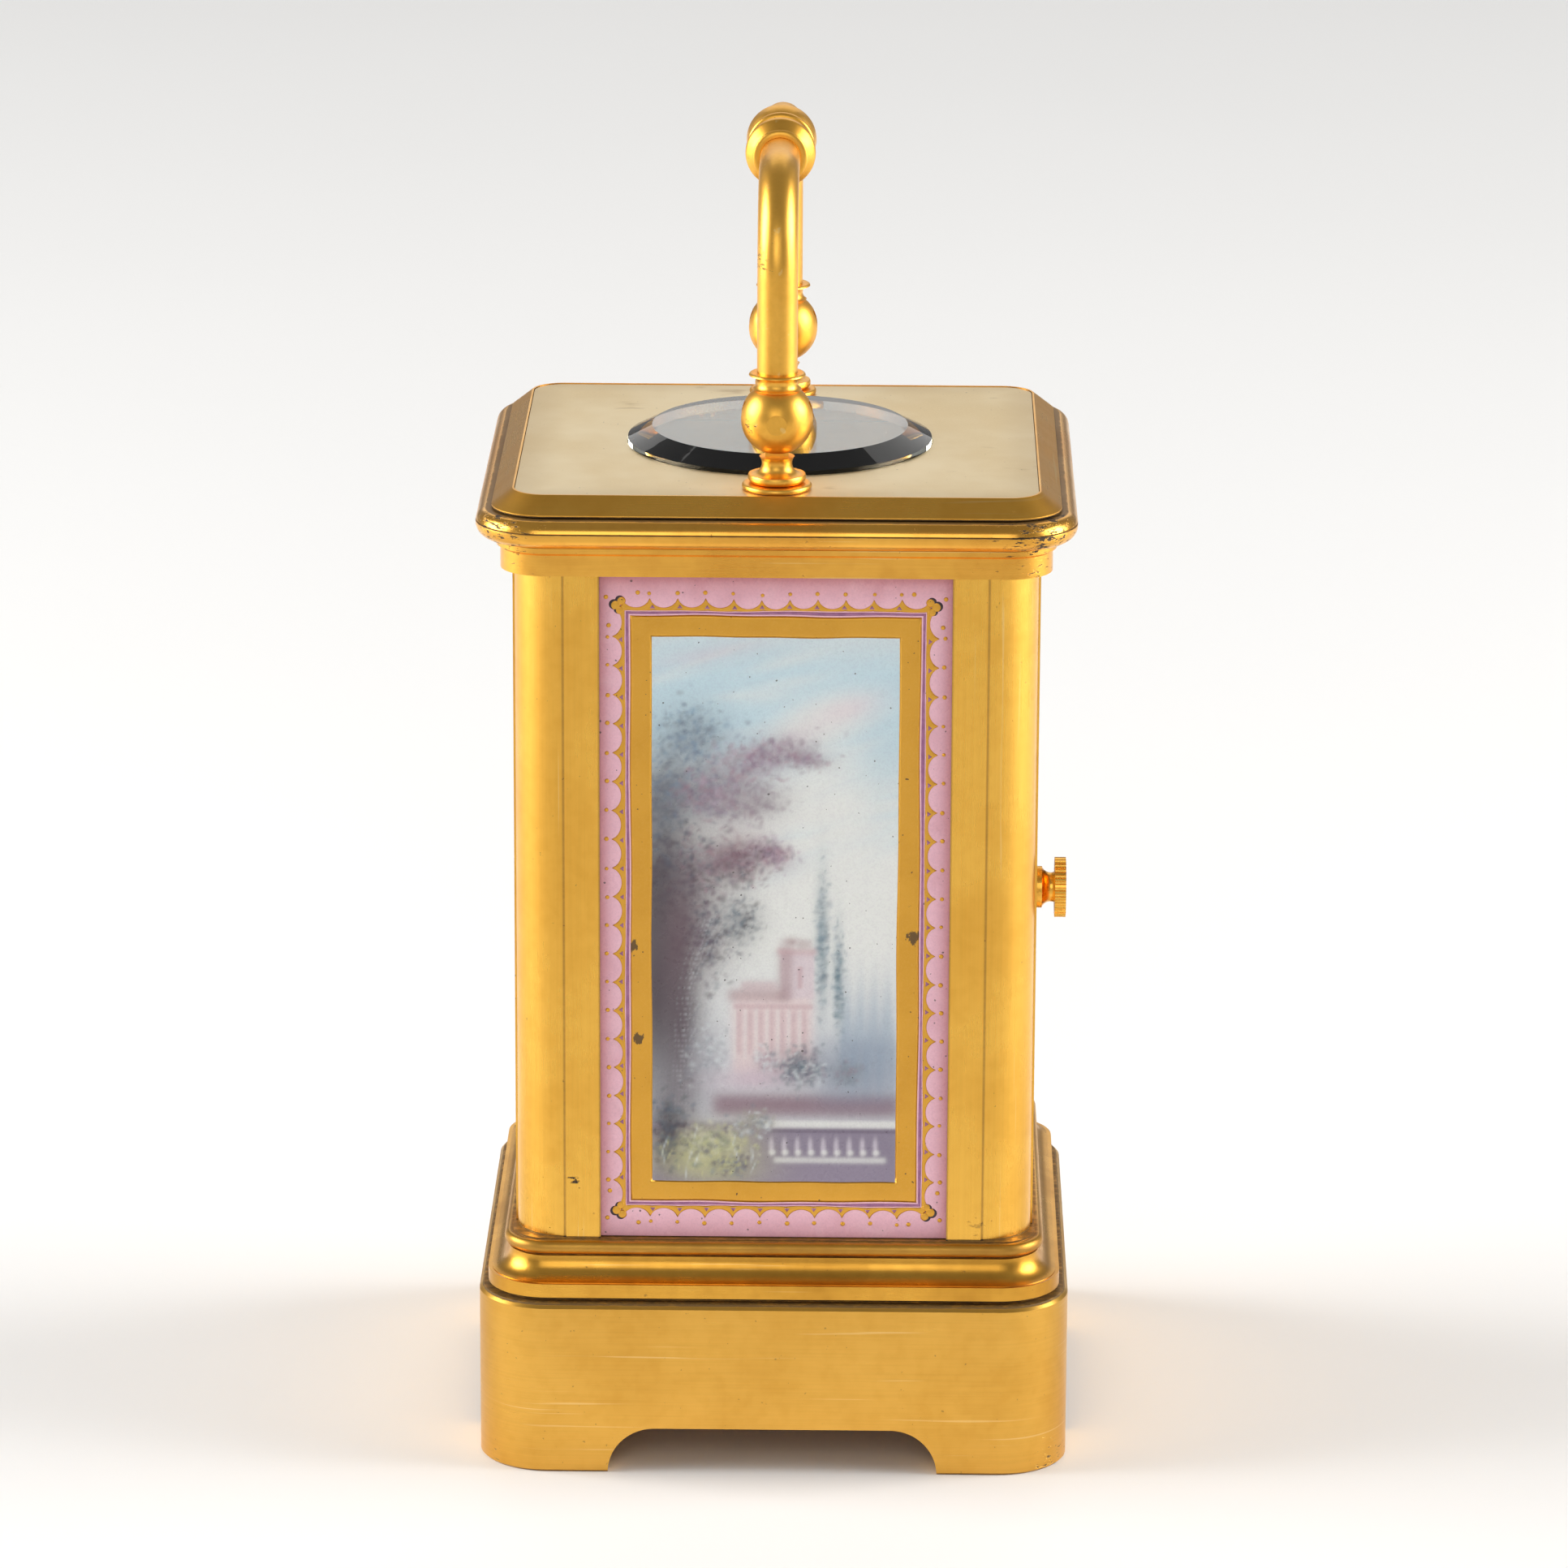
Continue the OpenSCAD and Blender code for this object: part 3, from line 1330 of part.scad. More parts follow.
plinth();
base_moulding();
pillar_front_right();
pillar_front_left();
pillar_rear_right();
pillar_rear_left();
cornice();
top_frame();
top_plate();
top_glass();
top_glass_ring();
side_panel_right();
side_panel_left();
front_glass();
dial_panel();
dial_backing();
case_screws();
handle_post_right();
handle_post_left();
post_nuts();
handle_bail();
handle_knop();
handle_pins();
door_frame();
door_glass();
door_hinge_pins();
door_knob();
door_catch();
front_plate();
back_plate();
movement_pillars();
plate_screws();
movement_feet();
movement_screws();
barrel();
barrel_cap();
mainspring();
barrel_arbor();
ratchet_wheel();
click();
click_screw();
click_spring();
centre_wheel();
centre_arbor();
third_wheel();
contrate_wheel();
escape_wheel();
platform();
platform_screws();
pallet_bridge();
pallet_lever();
balance_wheel();
balance_cock();
hairspring();
regulator_index();
cannon_pinion();
minute_wheel();
hour_wheel();
hour_hand();
minute_hand();
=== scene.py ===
"""Looks of a miniature carriage clock: gilt case, painted porcelain, bevelled glass and a going movement."""

import json
import logging
import math
from dataclasses import dataclass, field
from enum import Enum
from typing import Any, Optional, Sequence, Union

import bmesh
import bpy
import numpy as np
from mathutils import Matrix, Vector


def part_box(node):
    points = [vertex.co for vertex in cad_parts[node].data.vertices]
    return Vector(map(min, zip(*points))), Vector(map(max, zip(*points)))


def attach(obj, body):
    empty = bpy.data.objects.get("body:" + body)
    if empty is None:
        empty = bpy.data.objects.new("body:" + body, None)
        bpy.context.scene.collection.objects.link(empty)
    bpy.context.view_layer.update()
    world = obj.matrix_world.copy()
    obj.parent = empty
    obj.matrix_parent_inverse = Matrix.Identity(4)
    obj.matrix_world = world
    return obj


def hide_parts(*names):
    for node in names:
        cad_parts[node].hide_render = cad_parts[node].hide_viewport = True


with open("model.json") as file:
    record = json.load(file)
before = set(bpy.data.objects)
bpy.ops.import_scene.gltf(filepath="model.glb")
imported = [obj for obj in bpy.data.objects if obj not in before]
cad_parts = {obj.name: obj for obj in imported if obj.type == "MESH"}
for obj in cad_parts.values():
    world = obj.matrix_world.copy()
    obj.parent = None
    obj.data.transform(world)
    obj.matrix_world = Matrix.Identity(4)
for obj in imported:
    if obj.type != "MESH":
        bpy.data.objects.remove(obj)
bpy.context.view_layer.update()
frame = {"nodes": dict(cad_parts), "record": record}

log = logging.getLogger("carriage_clock")

MM = 0.001
Vec = tuple[float, float, float]
Colour = tuple[float, float, float]
Patch = tuple[np.ndarray, np.ndarray, np.ndarray, Any]


def paint(red: int, green: int, blue: int) -> Colour:
    """A paint mixed on the usual 0 to 255 scale.

    Args:
        red: Amount of red.
        green: Amount of green.
        blue: Amount of blue.

    Returns:
        The linear colour: ((c + 0.055) / 1.055) to the power 2.4, or c / 12.92 when c is very dark.
    """
    shares = np.array([red, green, blue]) / 255.0
    linear = np.where(shares <= 0.04045, shares / 12.92, ((shares + 0.055) / 1.055) ** 2.4)
    return float(linear[0]), float(linear[1]), float(linear[2])


# ---------------------------------------------------------------- shader maths


class Wire:
    """A value inside a material. Python's arithmetic on it adds Math nodes."""

    def __init__(self, recipe: "Recipe", socket: bpy.types.NodeSocket) -> None:
        """Wraps one output socket of a recipe."""
        self.recipe = recipe
        self.socket = socket

    def math(self, operation: str, *values: "Feed") -> "Wire":
        """Adds a Math node.

        Args:
            operation: Name of the operation.
            values: What goes into its sockets, in order.

        Returns:
            The result.
        """
        return self.recipe.node("ShaderNodeMath", {"operation": operation}, dict(enumerate(values)))

    def __add__(self, other: "Feed") -> "Wire":
        """Sum."""
        return self.math("ADD", self, other)

    def __radd__(self, other: "Feed") -> "Wire":
        """Sum with a plain number first."""
        return self.math("ADD", other, self)

    def __sub__(self, other: "Feed") -> "Wire":
        """Difference."""
        return self.math("SUBTRACT", self, other)

    def __rsub__(self, other: "Feed") -> "Wire":
        """Difference from a plain number."""
        return self.math("SUBTRACT", other, self)

    def __mul__(self, other: "Feed") -> "Wire":
        """Product."""
        return self.math("MULTIPLY", self, other)

    def __rmul__(self, other: "Feed") -> "Wire":
        """Product with a plain number first."""
        return self.math("MULTIPLY", other, self)

    def size(self) -> "Wire":
        """The value without its sign."""
        return self.math("ABSOLUTE", self)

    def at_most(self, other: "Feed") -> "Wire":
        """The smaller of two values."""
        return self.math("MINIMUM", self, other)

    def at_least(self, other: "Feed") -> "Wire":
        """The larger of two values."""
        return self.math("MAXIMUM", self, other)

    def rise(self, start: float, end: float) -> "Wire":
        """A smooth step from 0 at start to 1 at end; it falls if end is below start.

        Args:
            start: Value where the step begins.
            end: Value where the step is complete.

        Returns:
            The step, between 0 and 1.
        """
        settings = {"interpolation_type": "SMOOTHSTEP", "clamp": True}
        values = {"Value": self, "From Min": start, "From Max": end}
        return self.recipe.node("ShaderNodeMapRange", settings, values)


Feed = Union[Wire, float, int, Sequence[float]]


class Recipe:
    """A material being put together round one Principled shader."""

    def __init__(self, name: str) -> None:
        """Starts an empty material with that name."""
        self.material = bpy.data.materials.new(name)
        self.material.use_nodes = True
        self.tree = self.material.node_tree
        self.tree.nodes.clear()
        self.shader = self.tree.nodes.new("ShaderNodeBsdfPrincipled")
        end = self.tree.nodes.new("ShaderNodeOutputMaterial")
        self.tree.links.new(self.shader.outputs[0], end.inputs["Surface"])
        self.where = self.node("ShaderNodeTexCoord", output="Object")

    def feed(self, socket: bpy.types.NodeSocket, value: Feed) -> None:
        """Links a wire into a socket, or sets a plain value on it.

        Args:
            socket: Input socket.
            value: Wire, number or vector.
        """
        if isinstance(value, Wire):
            self.tree.links.new(value.socket, socket)
        elif isinstance(value, (int, float)):
            socket.default_value = float(value)
        else:
            wide = len(socket.default_value)
            socket.default_value = tuple(value) + (1.0,) * (wide - len(value))

    def node(self, kind: str, settings: Optional[dict[str, Any]] = None,
             values: Optional[dict[Union[str, int], Feed]] = None, output: Union[str, int] = 0) -> Wire:
        """Adds any node.

        Args:
            kind: The node's type.
            settings: Attributes that are set first. "stops" is a list of (place, colour) for a ramp.
            values: Numbers, vectors or wires for its input sockets.
            output: Which output is wanted.

        Returns:
            That output as a wire.
        """
        new = self.tree.nodes.new(kind)
        for key, value in (settings or {}).items():
            if key == "stops":
                ramp = new.color_ramp.elements
                while len(ramp) < len(value):
                    ramp.new(0.5)
                for stop, (place, colour) in zip(ramp, value):
                    stop.position = place
                    stop.color = (*colour, 1.0)
            else:
                setattr(new, key, value)
        for key, value in (values or {}).items():
            self.feed(new.inputs[key], value)
        return Wire(self, new.outputs[output])

    def noise(self, grain: Feed, detail: float = 3.0, roughness: float = 0.55, shift: float = 0.0) -> Wire:
        """Cloudy noise over the object.

        Args:
            grain: Features per metre, as one number or one for each axis.
            detail: Number of finer layers.
            roughness: Strength of the finer layers.
            shift: Moves the pattern, so that two finishes differ.

        Returns:
            The noise, near 0.5 on average.
        """
        scale = (grain, grain, grain) if isinstance(grain, (int, float)) else grain
        place = self.node("ShaderNodeMapping", None,
                          {"Vector": self.where, "Scale": scale, "Location": (shift, shift * 0.7, -shift)})
        return self.node("ShaderNodeTexNoise", {"noise_dimensions": "3D"},
                         {"Vector": place, "Scale": 1.0, "Detail": detail, "Roughness": roughness})

    def axis(self, name: str) -> Wire:
        """One coordinate of the point, in metres: X, Y or Z."""
        return self.node("ShaderNodeSeparateXYZ", None, {0: self.where}, name)

    def near(self, point: Vec, reach: float) -> Wire:
        """How near the surface is to a point.

        Args:
            point: The point, in millimetres.
            reach: Distance where the result has fallen to 0, in millimetres.

        Returns:
            1 at the point, falling smoothly to 0.
        """
        middle = tuple(MM * value for value in point)
        ends = {0: self.where, 1: middle}
        far = self.node("ShaderNodeVectorMath", {"operation": "DISTANCE"}, ends, "Value")
        return far.rise(reach * MM, 0.0)

    def band(self, axis: str, middle: float, half: float) -> Wire:
        """A soft stripe across an axis.

        Args:
            axis: X, Y or Z.
            middle: Middle of the stripe in millimetres.
            half: Half its width in millimetres.

        Returns:
            1 in the middle of the stripe, 0 outside it.
        """
        return (self.axis(axis) - middle * MM).size().rise(half * MM, 0.0)

    def mix(self, share: Feed, first: Feed, second: Feed) -> Wire:
        """Two colours mixed, from first at 0 to second at 1."""
        settings = {"data_type": "RGBA", "clamp_factor": True}
        return self.node("ShaderNodeMix", settings, {0: share, 6: first, 7: second}, 2)

    def bump(self, height: Wire, distance: float, strength: float = 1.0,
             below: Optional[Wire] = None) -> Wire:
        """A bump from a height.

        Args:
            height: The height, 0 to 1.
            distance: What a height of 1 stands for, in millimetres.
            strength: Strength of the effect.
            below: A bump that this one adds to.

        Returns:
            The normal.
        """
        values: dict[Union[str, int], Feed] = {
            "Height": height, "Distance": distance * MM, "Strength": strength}
        if below is not None:
            values["Normal"] = below
        return self.node("ShaderNodeBump", None, values)

    def finish(self, **sockets: Feed) -> bpy.types.Material:
        """Sets the shader's sockets; underscores in a name stand for spaces.

        Args:
            sockets: Values or wires by socket name.

        Returns:
            The finished material.
        """
        for name, value in sockets.items():
            self.feed(self.shader.inputs[name.replace("_", " ")], value)
        return self.material


# ---------------------------------------------------------------- finishes


class Grain(Enum):
    """Direction of the fine lines that the maker's emery left, as features per metre along x, y and z."""

    UPRIGHT = (5200.0, 5200.0, 90.0)
    LENGTHWAYS = (120.0, 120.0, 7000.0)
    FOUR_WAYS = (2600.0, 2600.0, 2600.0)


@dataclass(frozen=True)
class WornSpot:
    """A place where handling has broken through the gilding, in millimetres."""

    point: Vec
    reach: float
    strength: float = 1.0


@dataclass(frozen=True)
class ShadeLine:
    """A dark line painted at one height, in millimetres: painted shade along a groove or joint, frayed by
    noise.
    """

    height: float
    half: float
    strength: float = 0.8


@dataclass(frozen=True)
class Gilding:
    """Mercury gilding over brass: satin lines, cloudy toning, black flecks, rubbed spots, and painted shade
    lines along grooves, joints and the pillars' creases.
    """

    name: str
    bright: Colour = (0.98, 0.55, 0.095)
    toned: Colour = (0.80, 0.40, 0.055)
    tarnish_and_shade: Colour = (0.055, 0.035, 0.018)
    roughness: float = 0.27
    grain: Grain = Grain.UPRIGHT
    lines: float = 0.0022
    clouding: float = 0.6
    flecks: float = 0.35
    shift: float = 0.0
    worn: tuple[WornSpot, ...] = ()
    groove_shade: tuple[ShadeLine, ...] = ()
    crease_shade: tuple[float, ...] = ()

    def make(self) -> bpy.types.Material:
        """Builds the material: toning, rubbed lines, flecks, worn spots and painted shade in grooves and
        creases change colour, roughness and relief.

        Returns:
            The material.
        """
        mix = Recipe(self.name)
        clouds = mix.noise(95.0, 4.0, 0.6, self.shift).rise(0.38, 0.66)
        mottle = mix.noise(900.0, 3.0, 0.5, self.shift + 3).rise(0.4, 0.7)
        lines = mix.noise(self.grain.value, 3.0, 0.6, self.shift + 5)
        coarse = tuple(0.35 * features for features in self.grain.value)
        scratches = mix.noise(coarse, 2.0, 0.7, self.shift + 9).rise(0.66, 0.72)
        flecks = mix.noise(2300.0, 2.0, 0.5, self.shift + 13).rise(0.735, 0.77) * self.flecks
        wear_and_shade: Union[Wire, float] = 0.0
        ragged = mix.noise((1500.0, 900.0, 3800.0), 4.0, 0.7, self.shift + 21)
        for spot in self.worn:
            near = mix.near(spot.point, spot.reach)
            wear_and_shade = (near * 0.20 + ragged).rise(0.70, 0.76) * near.rise(0.0, 0.2) * spot.strength + wear_and_shade
        # Painted shade: a soft dark band along each groove or joint, at the given height.
        for line in self.groove_shade:
            near = mix.band("Z", line.height, line.half)
            wear_and_shade = (near * (0.72 + 0.28 * ragged.rise(0.35, 0.6))).rise(0.25, 0.8) * line.strength + wear_and_shade
        # Painted shade: thin dark upright lines on the pillars, at these distances in front of and behind the
        # middle.
        for crease_at in self.crease_shade:
            near = (mix.axis("Y").size() * 1000.0 - crease_at).size().rise(0.16, 0.02)
            wear_and_shade = near * (0.30 + 0.25 * ragged) + wear_and_shade
        if not isinstance(wear_and_shade, Wire):
            wear_and_shade = flecks * 1.0
        dark = (wear_and_shade + flecks).at_most(1.0)
        gold = mix.mix(clouds * self.clouding + mottle * 0.18, self.bright, self.toned)
        gold = mix.mix(lines.rise(0.35, 0.75) * 0.12, gold, tuple(0.72 * c for c in self.toned))
        gold = mix.mix(scratches * 0.35, gold, (0.98, 0.74, 0.33))
        # The dark colour covers the real flecks and worn spots, and also the painted shade lines.
        gold = mix.mix(dark, gold, self.tarnish_and_shade)
        rough = self.roughness + clouds * 0.06 + (lines - 0.5) * 0.10 + dark * 0.35
        relief = mix.bump(lines, self.lines)
        relief = mix.bump(1.0 - dark, 0.02, 0.6, relief)
        return mix.finish(Base_Color=gold, Roughness=rough, Metallic=1.0 - dark * 0.75, Normal=relief)


@dataclass(frozen=True)
class SatinPlate:
    """The top plate: pale, finely grained gilding with smudges, darker towards its edges, and small dark
    pits.
    """

    name: str = "satin_top_plate"
    pale: Colour = (0.82, 0.68, 0.43)
    warm: Colour = (0.72, 0.55, 0.29)

    def make(self) -> bpy.types.Material:
        """Builds the material from three sizes of noise; smudges darken and roughen it.

        Returns:
            The material.
        """
        mix = Recipe(self.name)
        broad = mix.noise(60.0, 4.0, 0.6, 2.0).rise(0.35, 0.68)
        grit = mix.noise(6500.0, 2.0, 0.6)
        smudge = mix.noise((260.0, 120.0, 200.0), 3.0, 0.6, 7.0).rise(0.64, 0.78)
        pits = mix.noise(3200.0, 1.0, 0.5, 4.0).rise(0.76, 0.80)
        rim = mix.axis("Y").size().rise(0.0165, 0.0203).at_least(mix.axis("X").size().rise(0.0155, 0.0190))
        colour = mix.mix(broad * 0.75, self.pale, self.warm)
        colour = mix.mix(grit.rise(0.35, 0.75) * 0.3, colour, (0.88, 0.76, 0.52))
        colour = mix.mix(smudge * 0.45 + rim * 0.22, colour, (0.33, 0.21, 0.09))
        colour = mix.mix(pits * 0.7, colour, (0.07, 0.045, 0.02))
        rough = 0.40 + broad * 0.06 + (grit - 0.5) * 0.2 + smudge * 0.08
        return mix.finish(Base_Color=colour, Roughness=rough, Metallic=1.0 - pits * 0.6,
                          Normal=mix.bump(grit, 0.0035))


@dataclass(frozen=True)
class Metal:
    """A movement metal: a ground colour with grained lines and a little staining."""

    name: str
    ground: Colour
    stain: Colour
    roughness: float = 0.22
    grain: Grain = Grain.FOUR_WAYS
    lines: float = 0.001

    def make(self) -> bpy.types.Material:
        """Builds the material: stained patches, grained lines and small dark specks.

        Returns:
            The material.
        """
        mix = Recipe(self.name)
        lines = mix.noise(self.grain.value, 2.0, 0.6)
        stain = mix.noise(240.0, 4.0, 0.65, 4.0).rise(0.42, 0.75)
        specks = mix.noise(2800.0, 1.0, 0.5, 8.0).rise(0.74, 0.78)
        colour = mix.mix(stain * 0.7, self.ground, self.stain)
        colour = mix.mix(lines.rise(0.3, 0.8) * 0.2, colour, tuple(0.6 * c for c in self.ground))
        colour = mix.mix(specks * 0.6, colour, tuple(0.15 * c for c in self.ground))
        rough = self.roughness + stain * 0.12 + (lines - 0.5) * 0.1
        return mix.finish(Base_Color=colour, Roughness=rough, Metallic=1.0,
                          Normal=mix.bump(lines, self.lines))


@dataclass(frozen=True)
class BluedSteel:
    """Steel let down over a flame: deep blue that drifts to violet, with a polished surface."""

    name: str = "blued_steel_finish"

    def make(self) -> bpy.types.Material:
        """Builds the material with a ramp from blue through violet to straw over cloudy noise.

        Returns:
            The material.
        """
        mix = Recipe(self.name)
        heat = mix.noise(420.0, 2.0, 0.5)
        fine = mix.noise(4200.0, 2.0, 0.6)
        stops = [(0.30, (0.012, 0.030, 0.16)), (0.52, (0.020, 0.050, 0.30)), (0.68, (0.075, 0.035, 0.24)),
                 (0.86, (0.22, 0.11, 0.09))]
        colour = mix.node("ShaderNodeValToRGB", {"stops": stops}, {0: heat})
        rough = 0.18 + (fine - 0.5) * 0.12
        return mix.finish(Base_Color=colour, Roughness=rough, Metallic=0.95, Normal=mix.bump(fine, 0.0008))


@dataclass(frozen=True)
class Glass:
    """Hand-polished glass with a faint bloom of dust and hair scratches."""

    name: str
    tint: Colour = (0.93, 0.975, 0.955)
    bloom: float = 0.05

    def make(self) -> bpy.types.Material:
        """Builds the material; the bloom changes only colour, roughness and relief.

        Returns:
            The material.
        """
        mix = Recipe(self.name)
        smear = mix.noise((160.0, 420.0, 160.0), 3.0, 0.6).rise(0.5, 0.8)
        hairs = mix.noise((300.0, 5200.0, 900.0), 1.0, 0.5).rise(0.74, 0.77)
        colour = mix.mix(smear * 0.25, self.tint, tuple(0.9 * c for c in self.tint))
        rough = 0.015 + smear * self.bloom + hairs * 0.08
        return mix.finish(Base_Color=colour, Roughness=rough, IOR=1.52, Transmission_Weight=1.0,
                          Normal=mix.bump(smear, 0.002, 0.3))


@dataclass(frozen=True)
class PaintedPorcelain:
    """Enamel colours fired under a glaze. The picture is the mesh's own colour attribute."""

    name: str
    layer: str = "picture"
    stipple: float = 0.5

    def make(self) -> bpy.types.Material:
        """Builds the material: the picture, stippled with a fine brush, kiln specks and a soft glaze.

        Returns:
            The material.
        """
        mix = Recipe(self.name)
        picture = mix.node("ShaderNodeAttribute", {"attribute_name": self.layer}, None, "Color")
        dots = mix.noise(6800.0, 1.0, 0.5).rise(0.40, 0.70)
        wash = mix.noise(700.0, 3.0, 0.6, 3.0).rise(0.35, 0.7)
        specks = mix.noise(3300.0, 0.0, 0.5, 6.0).rise(0.835, 0.845)
        shade = {0: picture, 1: (0.80, 0.76, 0.82)}
        darker = mix.node("ShaderNodeVectorMath", {"operation": "MULTIPLY"}, shade)
        colour = mix.mix(dots * self.stipple * 0.55 + wash * 0.12, picture, darker)
        colour = mix.mix(specks * 0.8, colour, (0.06, 0.05, 0.05))
        rough = 0.26 + wash * 0.08
        return mix.finish(Base_Color=colour, Roughness=rough, Coat_Weight=0.35, Coat_Roughness=0.12,
                          Specular_IOR_Level=0.4, Normal=mix.bump(wash, 0.004, 0.5))


@dataclass(frozen=True)
class FiredGold:
    """Gold fired onto the glaze and burnished: warm, a little dull, with pinholes and brush marks."""

    name: str = "fired_gold"
    worn: tuple[WornSpot, ...] = ()

    def make(self) -> bpy.types.Material:
        """Builds the material.

        Returns:
            The material.
        """
        mix = Recipe(self.name)
        brush = mix.noise(260.0, 3.0, 0.6)
        fine = mix.noise(7000.0, 2.0, 0.6)
        holes = mix.noise(3100.0, 1.0, 0.5, 5.0).rise(0.765, 0.785)
        ragged = mix.noise((2600.0, 2600.0, 1200.0), 3.0, 0.7, 8.0)
        for spot in self.worn:
            near = mix.near(spot.point, spot.reach)
            broken = (near * 0.55 + ragged).rise(0.84, 0.90) * near.rise(0.0, 0.3)
            holes = (broken * spot.strength + holes).at_most(1.0)
        colour = mix.mix(brush.rise(0.35, 0.7) * 0.5, (0.80, 0.415, 0.060), (0.70, 0.345, 0.045))
        colour = mix.mix(fine.rise(0.4, 0.8) * 0.2, colour, (0.90, 0.55, 0.14))
        colour = mix.mix(holes * 0.85, colour, (0.05, 0.03, 0.02))
        rough = 0.40 + (fine - 0.5) * 0.25
        return mix.finish(Base_Color=colour, Roughness=rough, Metallic=0.92 - holes * 0.7,
                          Normal=mix.bump(fine, 0.004))


@dataclass(frozen=True)
class Enamel:
    """A plain fired colour, laid on by hand so that it is thicker in places."""

    name: str
    full: Colour
    thin: Colour
    roughness: float = 0.3

    def make(self) -> bpy.types.Material:
        """Builds the material.

        Returns:
            The material.
        """
        mix = Recipe(self.name)
        lay = mix.noise(1300.0, 3.0, 0.6).rise(0.35, 0.7)
        fine = mix.noise(6000.0, 1.0, 0.5)
        colour = mix.mix(lay, self.full, self.thin)
        return mix.finish(Base_Color=colour, Roughness=self.roughness + (fine - 0.5) * 0.1, Coat_Weight=0.3,
                          Coat_Roughness=0.1, Normal=mix.bump(lay, 0.005))


@dataclass(frozen=True)
class Ruby:
    """A jewel bearing: clear red stone."""

    name: str = "ruby"

    def make(self) -> bpy.types.Material:
        """Builds the material.

        Returns:
            The material.
        """
        mix = Recipe(self.name)
        depth = mix.noise(2500.0, 1.0, 0.5)
        colour = mix.mix(depth.rise(0.3, 0.7), (0.55, 0.010, 0.045), (0.75, 0.05, 0.12))
        return mix.finish(Base_Color=colour, Roughness=0.05 + depth * 0.05, IOR=1.76, Coat_Weight=0.6)


# ---------------------------------------------------------------- surfaces


def grid_faces(rows: int, columns: int, closed_rows: bool = False,
               closed_columns: bool = False) -> np.ndarray:
    """Four-sided faces of a grid of points numbered row by row.

    Args:
        rows: Number of rows of points.
        columns: Number of points in a row.
        closed_rows: True joins the last row to the first.
        closed_columns: True joins the end of each row to its start.

    Returns:
        Corner numbers, one face a line. They turn anticlockwise if columns run right and rows run up.
    """
    row = np.arange(rows if closed_rows else rows - 1)[:, None]
    column = np.arange(columns if closed_columns else columns - 1)[None, :]
    over, along = (row + 1) % rows, (column + 1) % columns
    corners = [row * columns + column, row * columns + along, over * columns + along, over * columns + column]
    return np.stack([np.broadcast_to(c, (row.size, column.size)) for c in corners], axis=-1).reshape(-1, 4)


@dataclass
class Shape:
    """Points in millimetres and the faces on them, gathered from one or more surfaces."""

    points: np.ndarray = field(default_factory=lambda: np.zeros((0, 3)))
    faces: list[Sequence[int]] = field(default_factory=list)

    def add(self, points: np.ndarray, faces: Union[np.ndarray, list[Sequence[int]]]) -> "Shape":
        """Adds a surface; its faces count from its own first point.

        Args:
            points: Its points.
            faces: Its faces.

        Returns:
            This shape.
        """
        start = len(self.points)
        self.points = np.vstack([self.points, points])
        plain = faces.tolist() if isinstance(faces, np.ndarray) else faces
        self.faces += [[start + corner for corner in face] for face in plain]
        return self

    def piece(self, name: str, material: bpy.types.Material, body: str, slot: str, smooth: bool = True,
              weld: bool = False, colours: Optional[np.ndarray] = None) -> bpy.types.Object:
        """Makes the Blender object.

        Args:
            name: Name of the piece.
            material: Its finish.
            body: The moving body that it rides on.
            slot: Name of a material slot; not used.
            smooth: True shades it smoothly.
            weld: True merges doubled points, such as a pole's, and turns the faces outwards.
            colours: Colours of the points, for a painted piece.

        Returns:
            The object.
        """
        mesh = bpy.data.meshes.new(name)
        mesh.from_pydata((self.points * MM).tolist(), [], self.faces)
        if colours is not None:
            layer = mesh.color_attributes.new("picture", "FLOAT_COLOR", "POINT")
            layer.data.foreach_set("color", np.c_[colours, np.ones(len(colours))].astype(np.float32).ravel())
        if weld:
            work = bmesh.new()
            work.from_mesh(mesh)
            bmesh.ops.remove_doubles(work, verts=work.verts, dist=0.002 * MM)
            bmesh.ops.dissolve_degenerate(work, edges=work.edges, dist=0.001 * MM)
            bmesh.ops.recalc_face_normals(work, faces=work.faces)
            work.to_mesh(mesh)
            work.free()
        mesh.polygons.foreach_set("use_smooth", np.full(len(mesh.polygons), smooth))
        mesh.materials.append(material)
        thing = bpy.data.objects.new(name, mesh)
        bpy.context.scene.collection.objects.link(thing)
        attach(thing, body)
        log.info("%s rides on %s: %d faces", name, body, len(mesh.polygons))
        return thing


@dataclass(frozen=True)
class Face:
    """An upright face of the clock. Seen from outside, across runs right and up runs up."""

    middle: Vec
    right: Vec
    out: Vec

    def place(self, across: np.ndarray, up: np.ndarray, proud: np.ndarray) -> np.ndarray:
        """Carries flat coordinates onto the face: middle + across * right + up * Z + proud * out.

        Args:
            across: Millimetres to the right of the middle.
            up: Millimetres above it.
            proud: Millimetres out of the face.

        Returns:
            The points.
        """
        across, up, proud = np.broadcast_arrays(across, up, proud)
        flat = np.stack([across.ravel(), up.ravel(), proud.ravel()], axis=-1)
        return np.array(self.middle) + flat @ np.array([self.right, (0.0, 0.0, 1.0), self.out])


